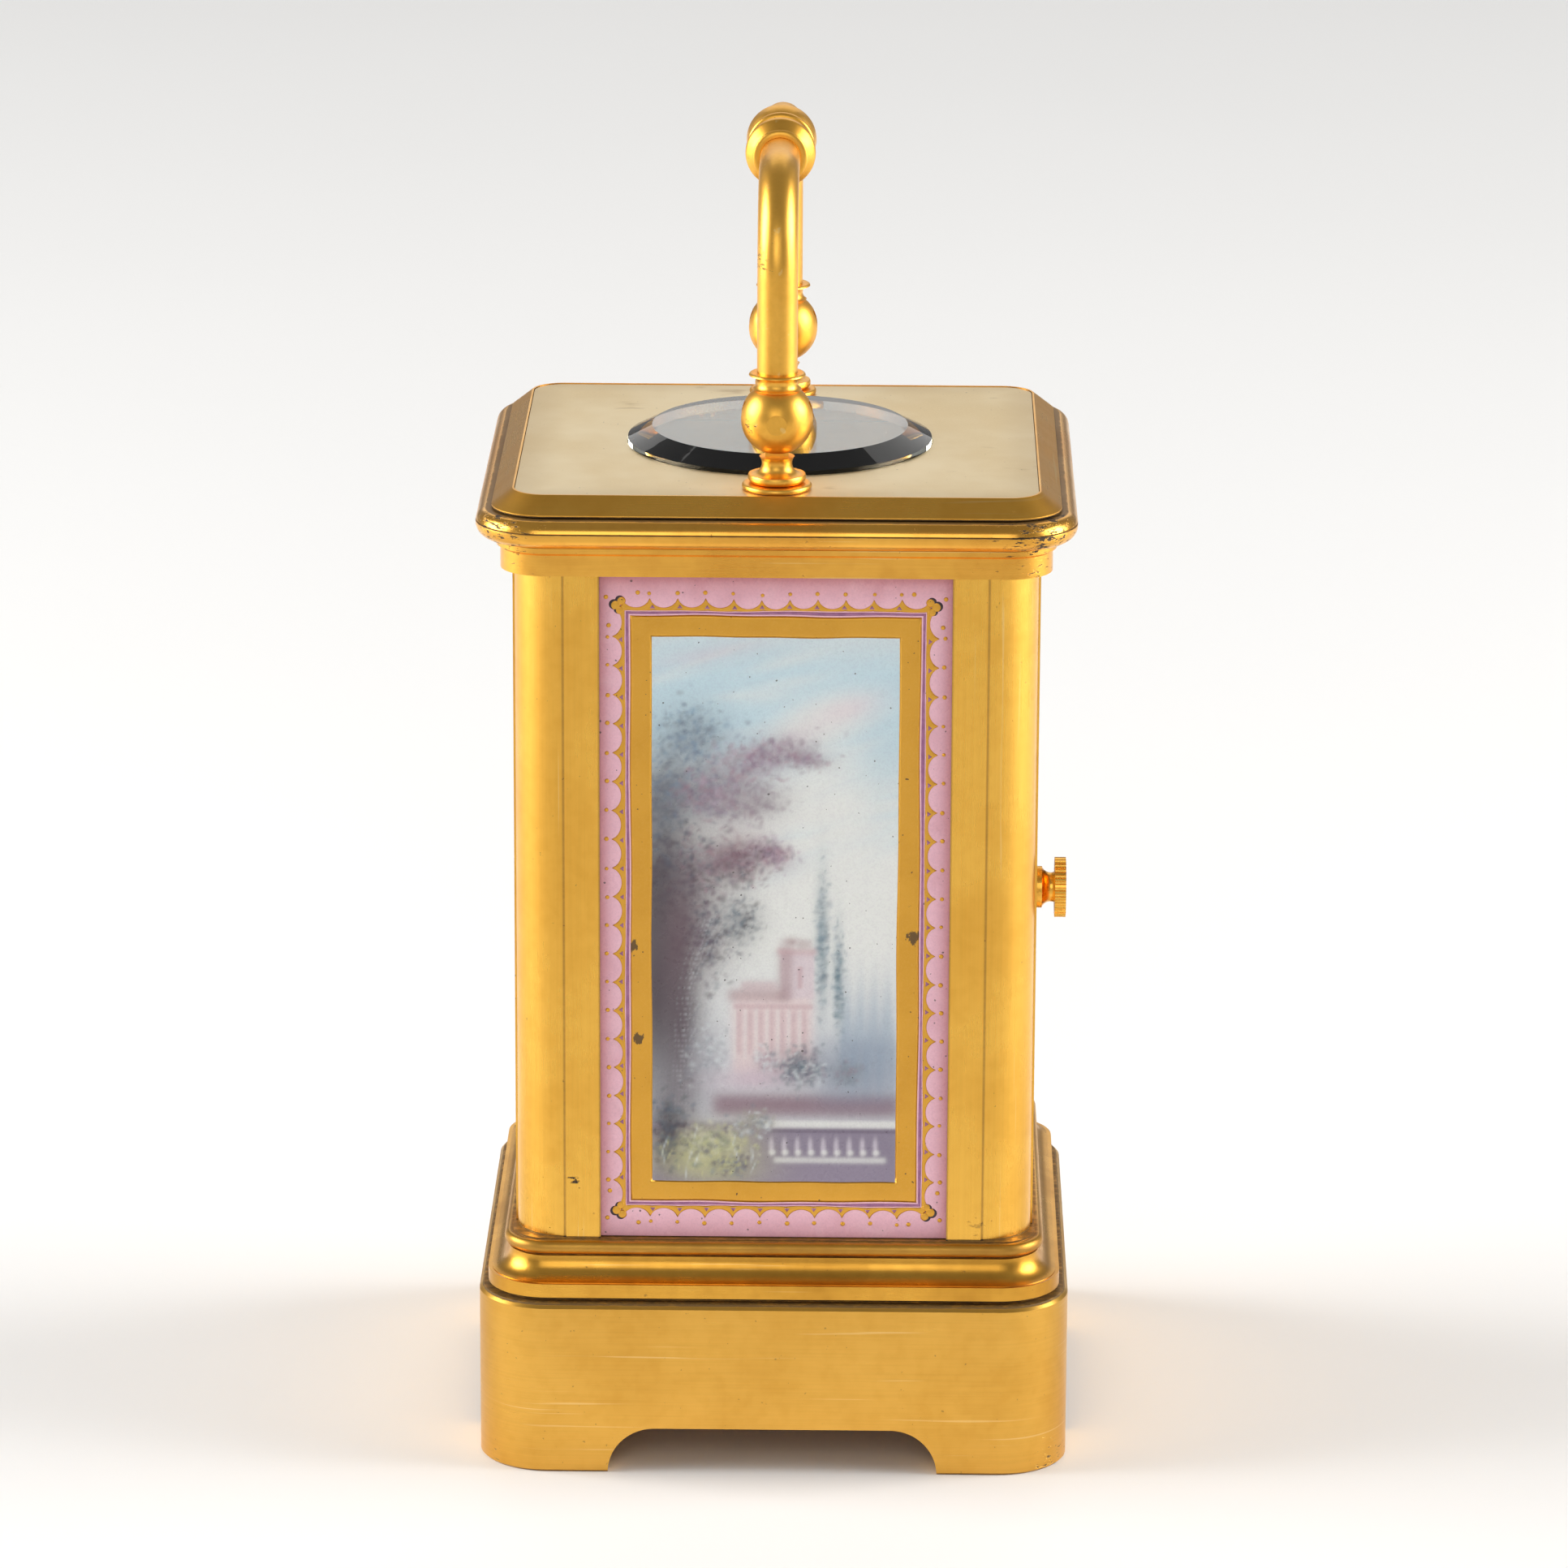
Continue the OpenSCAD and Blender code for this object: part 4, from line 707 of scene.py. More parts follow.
def bead(inner: np.ndarray, outer: np.ndarray, height: float, steps: int = 6) -> Patch:
    """A low rounded strip of paint between two closed lines on a face.

    A point is inner + t (outer - inner), and stands proud by height (1 - (2t - 1)^4), less a hair at both
    edges so that they sink into the glaze.

    Args:
        inner: Points (across, up) of one line.
        outer: Points of the other, as many.
        height: Height in millimetres.
        steps: Points across the strip.

    Returns:
        Across, up and proud of the points, and the faces.
    """
    t = np.linspace(0.0, 1.0, steps)[None, :, None]
    flat = inner[:, None, :] + t * (outer - inner)[:, None, :]
    rise = np.broadcast_to(height * (1 - (2 * t[..., 0] - 1) ** 4) - 0.006, flat.shape[:2])
    faces = grid_faces(len(inner), steps, closed_rows=True, closed_columns=True)
    ahead = flat[1, 0] - flat[0, 0]
    sideways = flat[0, -1] - flat[0, 0]
    if sideways[0] * ahead[1] - sideways[1] * ahead[0] < 0:
        faces = faces[:, ::-1]
    return flat[..., 0].ravel(), flat[..., 1].ravel(), rise.ravel(), faces


def dome(across: float, up: float, radius: float, height: float, turns: int = 12, rings: int = 4) -> Patch:
    """A drop of paint: height times the root of 1 - (r / radius)^2 above a disc, closed at its top.

    Args:
        across: Middle, across the face.
        up: Middle, up the face.
        radius: Radius of the drop.
        height: Its height.
        turns: Points round it.
        rings: Rings of points.

    Returns:
        Across, up and proud of the points, and the faces.
    """
    angle = 2 * np.pi * np.arange(turns) / turns
    r = radius * np.linspace(1.0, 0.0, rings + 1)[:-1][:, None]
    x = np.append((across + r * np.cos(angle)).ravel(), across)
    z = np.append((up + r * np.sin(angle)).ravel(), up)
    rise = height * np.sqrt(np.maximum(1 - (r / radius) ** 2, 0)) + 0 * angle - 0.004
    proud = np.append(rise.ravel(), height)
    body = grid_faces(rings, turns, closed_columns=True).tolist()
    top = (rings - 1) * turns
    cap = [[top + k, top + (k + 1) % turns, rings * turns] for k in range(turns)]
    base = list(range(turns))[::-1]
    return x, z, proud, body + cap + [base]


def prism(top: np.ndarray, drop: np.ndarray) -> tuple[np.ndarray, list[list[int]]]:
    """A closed flat solid: an outline, the same outline dropped, and the walls between them.

    Args:
        top: The outline, anticlockwise from outside.
        drop: Step from the outline down to its copy.

    Returns:
        The points and the faces.
    """
    count = len(top)
    walls = [[k, count + k, count + (k + 1) % count, (k + 1) % count] for k in range(count)]
    base = list(range(2 * count - 1, count - 1, -1))
    return np.vstack([top, top + drop]), [list(range(count)), *walls, base]


def lathe(profile: np.ndarray, turns: int = 96, closed: bool = False) -> tuple[np.ndarray, np.ndarray]:
    """A turned surface: the profile (radius, height) spun about Z.

    Args:
        profile: Points from the bottom to the top; the ends may lie on the axis.
        turns: Points round it.
        closed: True joins the end of the profile to its start, for a bored piece.

    Returns:
        The points and the faces.
    """
    angle = 2 * np.pi * np.arange(turns) / turns
    radius, height = profile[:, 0][:, None], profile[:, 1][:, None]
    points = np.stack([radius * np.cos(angle), radius * np.sin(angle), height + 0 * angle], axis=-1)
    return points.reshape(-1, 3), grid_faces(len(profile), turns, closed_rows=closed, closed_columns=True)


def smooth_line(marks: Sequence[tuple[float, float]], steps: int = 8) -> np.ndarray:
    """A smooth line through marks by Catmull and Rom's rule: each stretch is the cubic whose slope at a mark
    is half the step between its two neighbours.

    Args:
        marks: The marks, in order.
        steps: Points on each stretch.

    Returns:
        The points.
    """
    given = np.array(marks, float)
    ends = np.vstack([2 * given[0] - given[1], given, 2 * given[-1] - given[-2]])
    t = np.linspace(0, 1, steps, endpoint=False)[None, :, None]
    a, b, c, d = (ends[k:len(ends) - 3 + k][:, None, :] for k in range(4))
    bend, twist = 2 * a - 5 * b + 4 * c - d, 3 * b - a - 3 * c + d
    line = 0.5 * (2 * b + (c - a) * t + bend * t ** 2 + twist * t ** 3)
    return np.vstack([line.reshape(-1, given.shape[1]), given[-1]])


# ---------------------------------------------------------------- the painter


class Canvas:
    """A grid of colours in millimetres across and up, on which soft brush strokes are laid."""

    def __init__(self, across: np.ndarray, up: np.ndarray, ground: Colour, seed: int) -> None:
        """Starts with one ground colour.

        Args:
            across: Positions of the columns.
            up: Positions of the rows.
            ground: The ground colour.
            seed: Chooses the painter's hand.
        """
        self.across, self.up = across, up
        self.rgb = np.tile(np.array(ground, float), (len(up), len(across), 1))
        self.rng = np.random.default_rng(seed)
        self.origin = (0.0, 0.0)

    def _window(self, across: float, up: float, reach: float) -> tuple[slice, slice]:
        """Rows and columns within reach of a place."""
        rows = np.searchsorted(self.up, [up - reach, up + reach])
        columns = np.searchsorted(self.across, [across - reach, across + reach])
        return slice(*rows), slice(*columns)

    def stroke(self, across: float, up: float, long: float, wide: float, turn: float, colour: Colour,
               cover: float, hard: float = 1.0) -> None:
        """One oval dab: the cover falls as exp(-(distance over size)^(2 hard)).

        Args:
            across: Middle, across.
            up: Middle, up.
            long: Half length.
            wide: Half width.
            turn: Direction of its length, in degrees.
            colour: Its colour.
            cover: Cover at the middle, 0 to 1.
            hard: Above 1 gives a crisper edge.
        """
        across, up = across + self.origin[0], up + self.origin[1]
        rows, columns = self._window(across, up, 2.6 * max(long, wide))
        x = self.across[columns][None, :] - across
        z = self.up[rows][:, None] - up
        cos, sin = math.cos(math.radians(turn)), math.sin(math.radians(turn))
        reach = ((x * cos + z * sin) / long) ** 2 + ((z * cos - x * sin) / wide) ** 2
        share = (cover * np.exp(-reach ** hard))[..., None]
        self.rgb[rows, columns] += share * (np.array(colour) - self.rgb[rows, columns])

    def block(self, left: float, right: float, low: float, high: float, colour: Colour, cover: float,
              soft: float = 0.12) -> None:
        """A soft-edged rectangle: the product of four smooth steps.

        Args:
            left: Left side.
            right: Right side.
            low: Bottom.
            high: Top.
            colour: Its colour.
            cover: Cover, 0 to 1.
            soft: Width of the soft edge.
        """
        def step(value: np.ndarray) -> np.ndarray:
            """1 / (1 + exp(-4 value / soft))."""
            return 1 / (1 + np.exp(np.clip(-4 * value / soft, -40, 40)))
        x, z = self.across[None, :], self.up[:, None]
        share = (cover * step(x - left) * step(right - x) * step(z - low) * step(high - z))[..., None]
        self.rgb += share * (np.array(colour) - self.rgb)

    def shade(self, stops: Sequence[tuple[float, Colour]]) -> None:
        """Washes the whole canvas with colours that change with height.

        Args:
            stops: Heights, rising, and the colour at each.
        """
        heights = [height for height, _ in stops]
        wash = np.stack([np.interp(self.up, heights, [c[k] for _, c in stops]) for k in range(3)], axis=-1)
        self.rgb[:] = wash[:, None, :]

    def foliage(self, across: float, up: float, wide: float, high: float, colours: Sequence[Colour],
                count: int, leaf: float = 0.30, cover: float = 0.35, turn: float = 0.0) -> None:
        """A clump of leaves: a soft mass, then small dabs scattered about its middle by a normal law.

        Args:
            across: Middle, across.
            up: Middle, up.
            wide: Half width of the clump.
            high: Half height.
            colours: Colours of the leaves; the first is the mass.
            count: Number of dabs.
            leaf: Size of a dab.
            cover: Cover of a dab.
            turn: Lean of the clump, in degrees.
        """
        self.stroke(across, up, wide, high, turn, colours[0], 0.62)
        lean = math.radians(turn)
        for _ in range(count):
            dx, dz = self.rng.normal(0, 0.52, 2) * (wide, high)
            x = across + dx * math.cos(lean) - dz * math.sin(lean)
            z = up + dx * math.sin(lean) + dz * math.cos(lean)
            colour = colours[self.rng.integers(len(colours))]
            size = leaf * self.rng.uniform(0.6, 1.5)
            self.stroke(x, z, size, size * self.rng.uniform(0.35, 0.8), self.rng.uniform(0, 180), colour,
                        cover * self.rng.uniform(0.5, 1.2), 1.4)

    def trail(self, marks: Sequence[tuple[float, float]], wide: float, colour: Colour, cover: float) -> None:
        """A brush line: overlapping dabs along a smooth line.

        Args:
            marks: Marks (across, up) that it passes.
            wide: Half its width.
            colour: Its colour.
            cover: Cover of a dab.
        """
        line = smooth_line(marks, 14)
        turns = np.degrees(np.arctan2(*np.diff(line, axis=0).T[::-1]))
        for (x, z), turn in zip(line, turns):
            self.stroke(x, z, wide * 2.4, wide, turn, colour, cover, 1.3)


class Scene(Enum):
    """The pictures on the clock's three porcelain panels."""

    VILLA = "villa with a tower behind a large tree, over a balustrade"
    LAKE = "lake with an islet and a bridge between trees"
    ROSES = "a spray of roses"


@dataclass(frozen=True)
class Landscape:
    """A fired picture in blue-grey, mauve and rose, in millimetres from the middle of a panel's foot."""

    scene: Scene
    seed: int
    sky: Colour = paint(206, 232, 242)
    pale: Colour = paint(226, 236, 238)
    white: Colour = paint(242, 244, 240)
    blue: Colour = paint(128, 160, 186)
    grey: Colour = paint(130, 140, 150)
    mauve: Colour = paint(150, 130, 144)
    rose: Colour = paint(172, 130, 146)
    dark: Colour = paint(62, 48, 58)
    teal: Colour = paint(70, 94, 112)
    straw: Colour = paint(206, 206, 150)

    def lay(self, canvas: Canvas) -> None:
        """Paints the picture on a canvas."""
        {Scene.VILLA: self.villa, Scene.LAKE: self.lake, Scene.ROSES: self.roses}[self.scene](canvas)

    def heaven(self, canvas: Canvas) -> None:
        """Sky: pale blue above, white lower down, with long slanting strokes and a bank of cloud."""
        canvas.shade([(4.0, paint(190, 190, 200)), (15, paint(222, 226, 230)), (24, self.white),
                      (36, self.white), (41, self.sky), (46, self.sky), (50, self.pale)])
        rng = canvas.rng
        for _ in range(70):
            colour = (self.sky, self.white, paint(206, 226, 236))[rng.integers(3)]
            canvas.stroke(rng.uniform(-9, 10), rng.uniform(30, 49), rng.uniform(2, 4), rng.uniform(0.25, 0.7),
                          rng.uniform(5, 32), colour, 0.35)
        canvas.stroke(3.6, 42.2, 4.6, 2.1, 22, self.white, 0.85, 1.6)
        canvas.stroke(5.6, 43.2, 2.6, 1.0, 18, paint(240, 222, 228), 0.6)
        canvas.stroke(1.6, 40.8, 2.6, 1.0, 30, paint(236, 222, 228), 0.5)
        canvas.stroke(8.4, 39.0, 2.4, 5.0, -10, paint(196, 222, 232), 0.6)
        canvas.stroke(4.8, 33.5, 4.2, 6.5, 15, self.white, 0.85)
        canvas.stroke(-5.2, 47.6, 4.0, 0.6, 12, paint(220, 216, 226), 0.5)

    def great_tree(self, canvas: Canvas, side: float) -> None:
        """The big tree, its trunk wound with pale scratched lines.

        Args:
            canvas: The canvas.
            side: 1 for a tree on the left, -1 for one on the right.
        """
        cool = (self.grey, self.blue, paint(140, 160, 182), paint(104, 116, 138))
        warm = (self.mauve, self.rose, paint(168, 152, 172), paint(126, 102, 128), paint(192, 172, 190))
        deep = (self.dark, self.teal, paint(96, 74, 98), paint(70, 74, 96), paint(110, 90, 112))
        ash = (paint(176, 172, 176), paint(190, 186, 188))
        clumps = (
            (-6.4, 41.0, 2.9, 2.5, cool, 230, 0.24),
            (-8.4, 36.6, 2.6, 3.2, (paint(112, 120, 128),) + cool, 220, 0.26),
            (-5.2, 36.6, 3.2, 2.2, (self.grey,) + cool + warm[:2], 220, 0.26),
            (-0.9, 39.4, 3.4, 1.5, warm, 300, 0.24, 0.30, 14),
            (2.4, 39.3, 1.7, 0.7, warm, 90, 0.20, 0.26, -12),
            (-3.6, 36.0, 3.4, 2.2, warm, 300, 0.24),
            (-1.6, 35.8, 2.4, 1.4, ash + warm[:1], 160, 0.22),
            (-0.4, 31.6, 1.8, 1.1, warm[1:] + deep[:1], 170, 0.22, 0.35, -20),
            (-3.0, 30.6, 2.4, 1.7, (paint(120, 92, 104),) + warm[:2] + deep[:2], 220, 0.24),
            (-8.4, 30.2, 2.2, 4.6, deep + cool[:2], 260, 0.26),
            (-5.8, 30.0, 2.6, 3.6, (paint(128, 118, 124),) + deep[:2] + warm[:2], 260, 0.24),
            (-5.6, 24.6, 2.4, 3.4, (paint(112, 100, 110),) + deep, 260, 0.24),
            (-2.6, 26.0, 1.7, 2.0, (paint(140, 144, 148), self.grey, self.teal, self.dark), 150, 0.2),
        )
        for across, up, wide, high, colours, count, leaf, *rest in clumps:
            cover, lean = rest or (0.35, 0)
            canvas.foliage(side * across, up, wide, high, colours, count, leaf, cover, side * lean)
        masses = (
            (-9.2, 20.0, 2.6, 10.5, 0, self.dark, 0.92), (-7.2, 17.5, 1.6, 8.0, 3, paint(84, 68, 78), 0.90),
            (-9.4, 27.5, 2.2, 6.5, 0, self.dark, 0.70), (-7.4, 25.0, 1.5, 5.0, -4, paint(104, 78, 90), 0.62),
            (-3.4, 31.6, 2.2, 1.3, 20, paint(140, 96, 108), 0.50),
            (-9.0, 35.0, 1.6, 3.0, 0, paint(96, 104, 116), 0.50),
        )
        for across, up, long, wide, turn, colour, cover in masses:
            canvas.stroke(side * across, up, long, wide, side * turn, colour, cover)
        for k in range(26):
            shift = canvas.rng.normal(0, 0.55)
            start = side * (-7.7 + shift)
            marks = [(start, 9.5), (start + side * 0.3, 15), (start + side * (0.9 + 0.4 * shift), 21),
                     (side * (-5.2 + 1.3 * shift), 26.5)]
            canvas.trail(marks, 0.05, (self.pale, self.mauve, self.dark)[k % 3], 0.16)
        for k in range(16):
            top = canvas.rng.uniform(21, 29)
            marks = [(side * -6.6, top - 7), (side * (-5.0 + k * 0.06), top - 3),
                     (side * (-3.0 + k * 0.12), top)]
            canvas.trail(marks, 0.045, (self.pale, self.grey)[k % 2], 0.16)
        ivy = (paint(176, 176, 184), self.pale, self.grey)
        canvas.foliage(side * -5.3, 15.0, 1.5, 2.4, ivy, 120, 0.22, 0.3)

    def poplar(self, canvas: Canvas, across: float, foot: float, top: float, wide: float) -> None:
        """A poplar: a thin upright clump of grey-green dabs."""
        colours = (paint(126, 152, 164), paint(104, 130, 142), paint(152, 172, 186), paint(96, 110, 128))
        middle, half = (foot + top) / 2, (top - foot) / 2
        canvas.foliage(across, middle, wide, half * 0.8, colours, 150, 0.2, 0.32)

    def villa(self, canvas: Canvas) -> None:
        """A rose villa with a tower, poplars, blue distance, a terrace and its white balustrade."""
        self.heaven(canvas)
        for k in range(12):
            canvas.stroke(5.4 + 0.35 * k, 16.5 + 1.2 * math.sin(2.1 * k), 0.28, 3.6, 0, self.blue, 0.42)
        self.poplar(canvas, 3.7, 17.0, 31.2, 0.55)
        self.poplar(canvas, 5.0, 16.0, 26.8, 0.42)
        wall, shade, roof = paint(236, 216, 216), paint(206, 170, 176), paint(178, 148, 152)
        for left, right, low, high, colour, cover, soft in (
                (-3.3, 3.0, 13.6, 20.3, wall, 0.9, 0.8),
                (0.5, 3.1, 19.8, 23.6, paint(228, 212, 218), 0.9, 0.25),
                (0.3, 1.4, 19.6, 24.0, roof, 0.62, 0.6),
                (0.2, 3.3, 23.4, 23.9, shade, 0.7, 0.4)):
            canvas.block(left, right, low, high, colour, cover, soft)
        canvas.stroke(1.3, 24.4, 0.7, 0.4, 0, roof, 0.7)
        canvas.block(1.9, 2.9, 23.9, 24.6, roof, 0.5, 0.4)
        canvas.block(-3.6, 1.0, 19.6, 20.5, roof, 0.6, 0.6)
        canvas.block(-2.6, 0.2, 20.4, 21.2, shade, 0.55, 0.5)
        for k in range(7):
            left = -2.9 + 0.85 * k
            canvas.block(left, left + 0.3, 15.2, 18.8, shade, 0.62, 0.34)
            canvas.block(left - 0.3, left - 0.12, 14.8, 19.2, self.white, 0.35, 0.14)
        canvas.block(1.8, 2.2, 20.6, 22.4, shade, 0.6, 0.15)
        canvas.block(-3.2, 3.0, 18.9, 19.3, shade, 0.5, 0.15)
        self.great_tree(canvas, 1.0)
        canvas.stroke(-1.4, 13.2, 3.2, 1.0, 4, paint(212, 186, 200), 0.7)
        canvas.block(-4.8, 9.8, 10.1, 11.9, paint(134, 96, 112), 0.85, 1.0)
        canvas.block(3.4, 9.8, 11.4, 16.4, paint(126, 142, 166), 0.62, 2.2)
        bush = (paint(98, 92, 112), self.teal, self.grey, self.pale, paint(126, 134, 142))
        canvas.foliage(2.0, 14.1, 1.9, 1.5, bush, 230, 0.22, 0.42)
        canvas.foliage(-0.6, 14.6, 0.9, 0.9, (paint(190, 190, 198), self.pale, self.rose), 70, 0.2)
        canvas.foliage(5.6, 13.6, 1.2, 0.9, (self.grey, paint(150, 160, 172), self.mauve), 80, 0.2)
        self.terrace(canvas)

    def terrace(self, canvas: Canvas) -> None:
        """A white rail on balusters over violet shadow, with a grassy bank at the left."""
        canvas.block(-9.6, 9.8, 4.4, 9.6, paint(132, 118, 142), 0.85, 0.5)
        canvas.block(-1.2, 9.8, 9.15, 9.75, self.white, 0.85, 0.25)
        canvas.block(-0.4, 9.8, 8.75, 9.0, paint(96, 80, 104), 0.6, 0.2)
        for k in range(9):
            left = -0.2 + 1.02 * k
            canvas.stroke(left, 7.6, 0.20, 0.75, 0, paint(214, 206, 218), 0.8, 1.6)
            canvas.stroke(left + 0.08, 7.1, 0.27, 0.26, 0, self.white, 0.7, 1.5)
        canvas.block(0.0, 8.8, 6.25, 6.7, self.white, 0.75, 0.3)
        canvas.block(-2.0, 9.8, 4.6, 6.0, paint(158, 146, 168), 0.5, 0.9)
        grass = (self.straw, paint(186, 190, 146), paint(150, 156, 132), paint(222, 222, 196),
                 paint(112, 108, 118))
        canvas.stroke(-5.4, 6.2, 4.2, 1.7, -6, self.straw, 0.75)
        canvas.foliage(-5.0, 7.8, 3.4, 1.6, grass, 260, 0.24, 0.42)
        canvas.foliage(-8.2, 9.0, 1.3, 3.0, (self.dark, self.teal, paint(96, 100, 104)), 150, 0.26, 0.4)
        canvas.foliage(-3.4, 6.0, 1.4, 0.7, (paint(96, 88, 106), self.grey, self.straw), 110, 0.18, 0.45)
        canvas.foliage(-1.6, 9.6, 1.5, 0.9, (paint(166, 162, 150), self.pale, self.grey), 100, 0.2, 0.4)
        for k in range(22):
            across = canvas.rng.uniform(-9, -1)
            canvas.stroke(across, canvas.rng.uniform(5, 9), 0.06, 0.5, canvas.rng.uniform(-25, 25),
                          (self.pale, self.straw)[k % 2], 0.5)

    def lake(self, canvas: Canvas) -> None:
        """Water with a wooded islet, a little bridge and hills behind, under the same sky."""
        self.heaven(canvas)
        canvas.stroke(2.0, 21.5, 9.0, 2.4, 3, paint(150, 172, 194), 0.75)
        canvas.stroke(-5.0, 20.4, 6.0, 1.6, -4, paint(164, 160, 184), 0.7)
        canvas.block(-9.8, 9.8, 8.0, 18.4, paint(158, 188, 206), 0.85, 0.7)
        for k in range(60):
            across, up = canvas.rng.uniform(-9, 9), canvas.rng.uniform(8.5, 18)
            long, turn = canvas.rng.uniform(0.6, 2.2), canvas.rng.uniform(-3, 3)
            canvas.stroke(across, up, long, 0.08, turn, (self.white, self.blue, self.mauve)[k % 3], 0.45)
        islet = (paint(104, 110, 124), self.grey, self.blue, self.mauve, paint(150, 160, 140))
        canvas.foliage(-3.4, 20.6, 2.6, 2.2, islet, 220, 0.24)
        canvas.foliage(-1.4, 19.2, 1.4, 1.2, islet, 90, 0.22)
        canvas.block(-6.6, 0.8, 17.6, 18.3, paint(170, 150, 140), 0.7, 0.4)
        for k in range(4):
            canvas.stroke(2.0 + 1.5 * k, 18.5, 0.62, 0.62, 0, paint(116, 124, 150), 0.55, 2.0)
        canvas.block(1.0, 7.6, 19.0, 19.6, paint(216, 200, 204), 0.8, 0.3)
        self.great_tree(canvas, -1.0)
        self.terrace(canvas)

    def roses(self, canvas: Canvas) -> None:
        """Roses: each is rings of short curved dabs, dark in the heart, among green-grey leaves."""
        canvas.shade([(0.0, paint(236, 226, 226)), (20, self.white)])
        self.roses_spray(canvas)

    def roses_spray(self, canvas: Canvas) -> None:
        """One spray of roses among leaves, about the canvas's origin."""
        green = (paint(140, 156, 132), paint(112, 134, 116), paint(170, 180, 152), paint(96, 112, 104))
        sprigs = ((-3.4, 7.2, 150), (3.6, 7.0, 30), (-2.6, 4.4, 205), (2.8, 4.2, -25), (0, 10.0, 90))
        for across, up, turn in sprigs:
            canvas.foliage(across, up, 1.6, 0.6, green, 60, 0.22, 0.5, turn)
        for across, up, size in ((-1.5, 6.6, 1.5), (1.6, 6.2, 1.35), (0.1, 8.6, 1.1), (0.2, 4.4, 0.9)):
            canvas.stroke(across, up, size, size * 0.92, 0, paint(226, 160, 176), 0.9, 2.2)
            petals = (paint(240, 200, 206), paint(206, 110, 136), paint(176, 76, 106))
            for ring in range(5):
                for k in range(9):
                    angle = k * 40 + ring * 23
                    reach = size * (0.92 - 0.19 * ring)
                    canvas.stroke(across + reach * math.cos(math.radians(angle)) * 0.8,
                                  up + reach * math.sin(math.radians(angle)) * 0.75, 0.36, 0.12, angle + 90,
                                  petals[(k + ring) % 3], 0.6)


# ---------------------------------------------------------------- porcelain panels


OUTWARD = np.array([[0.0, -1.0], [1.0, 0.0], [0.0, 1.0], [-1.0, 0.0]])
# A gilded corner: leaves as (across, up, radius) and dots as (across, up), from the corner of the thin line.
CORNER_LEAVES = ((0.42, 0.12, 0.40), (-0.02, 0.46, 0.36), (0.10, -0.28, 0.34))
CORNER_DOTS = ((1.15, 0.75), (-1.3, 1.12), (0.95, -1.5))


def corners_of(node: str) -> tuple[np.ndarray, np.ndarray]:
    """Lowest and highest corner of a CAD node, in millimetres."""
    low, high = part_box(node)
    return np.array(low) / MM, np.array(high) / MM


def pivot_of(joint: str) -> np.ndarray:
    """Place of a joint's axis in the record, in millimetres."""
    joints = frame["record"]["behaviour"]["joints"]
    return np.array(next(j["pos_m"] for j in joints if j["name"] == joint)) / MM


@dataclass
class Paints:
    """The finishes that the painted panels share."""

    porcelain: bpy.types.Material
    gold: bpy.types.Material
    mauve: bpy.types.Material
    outline: bpy.types.Material


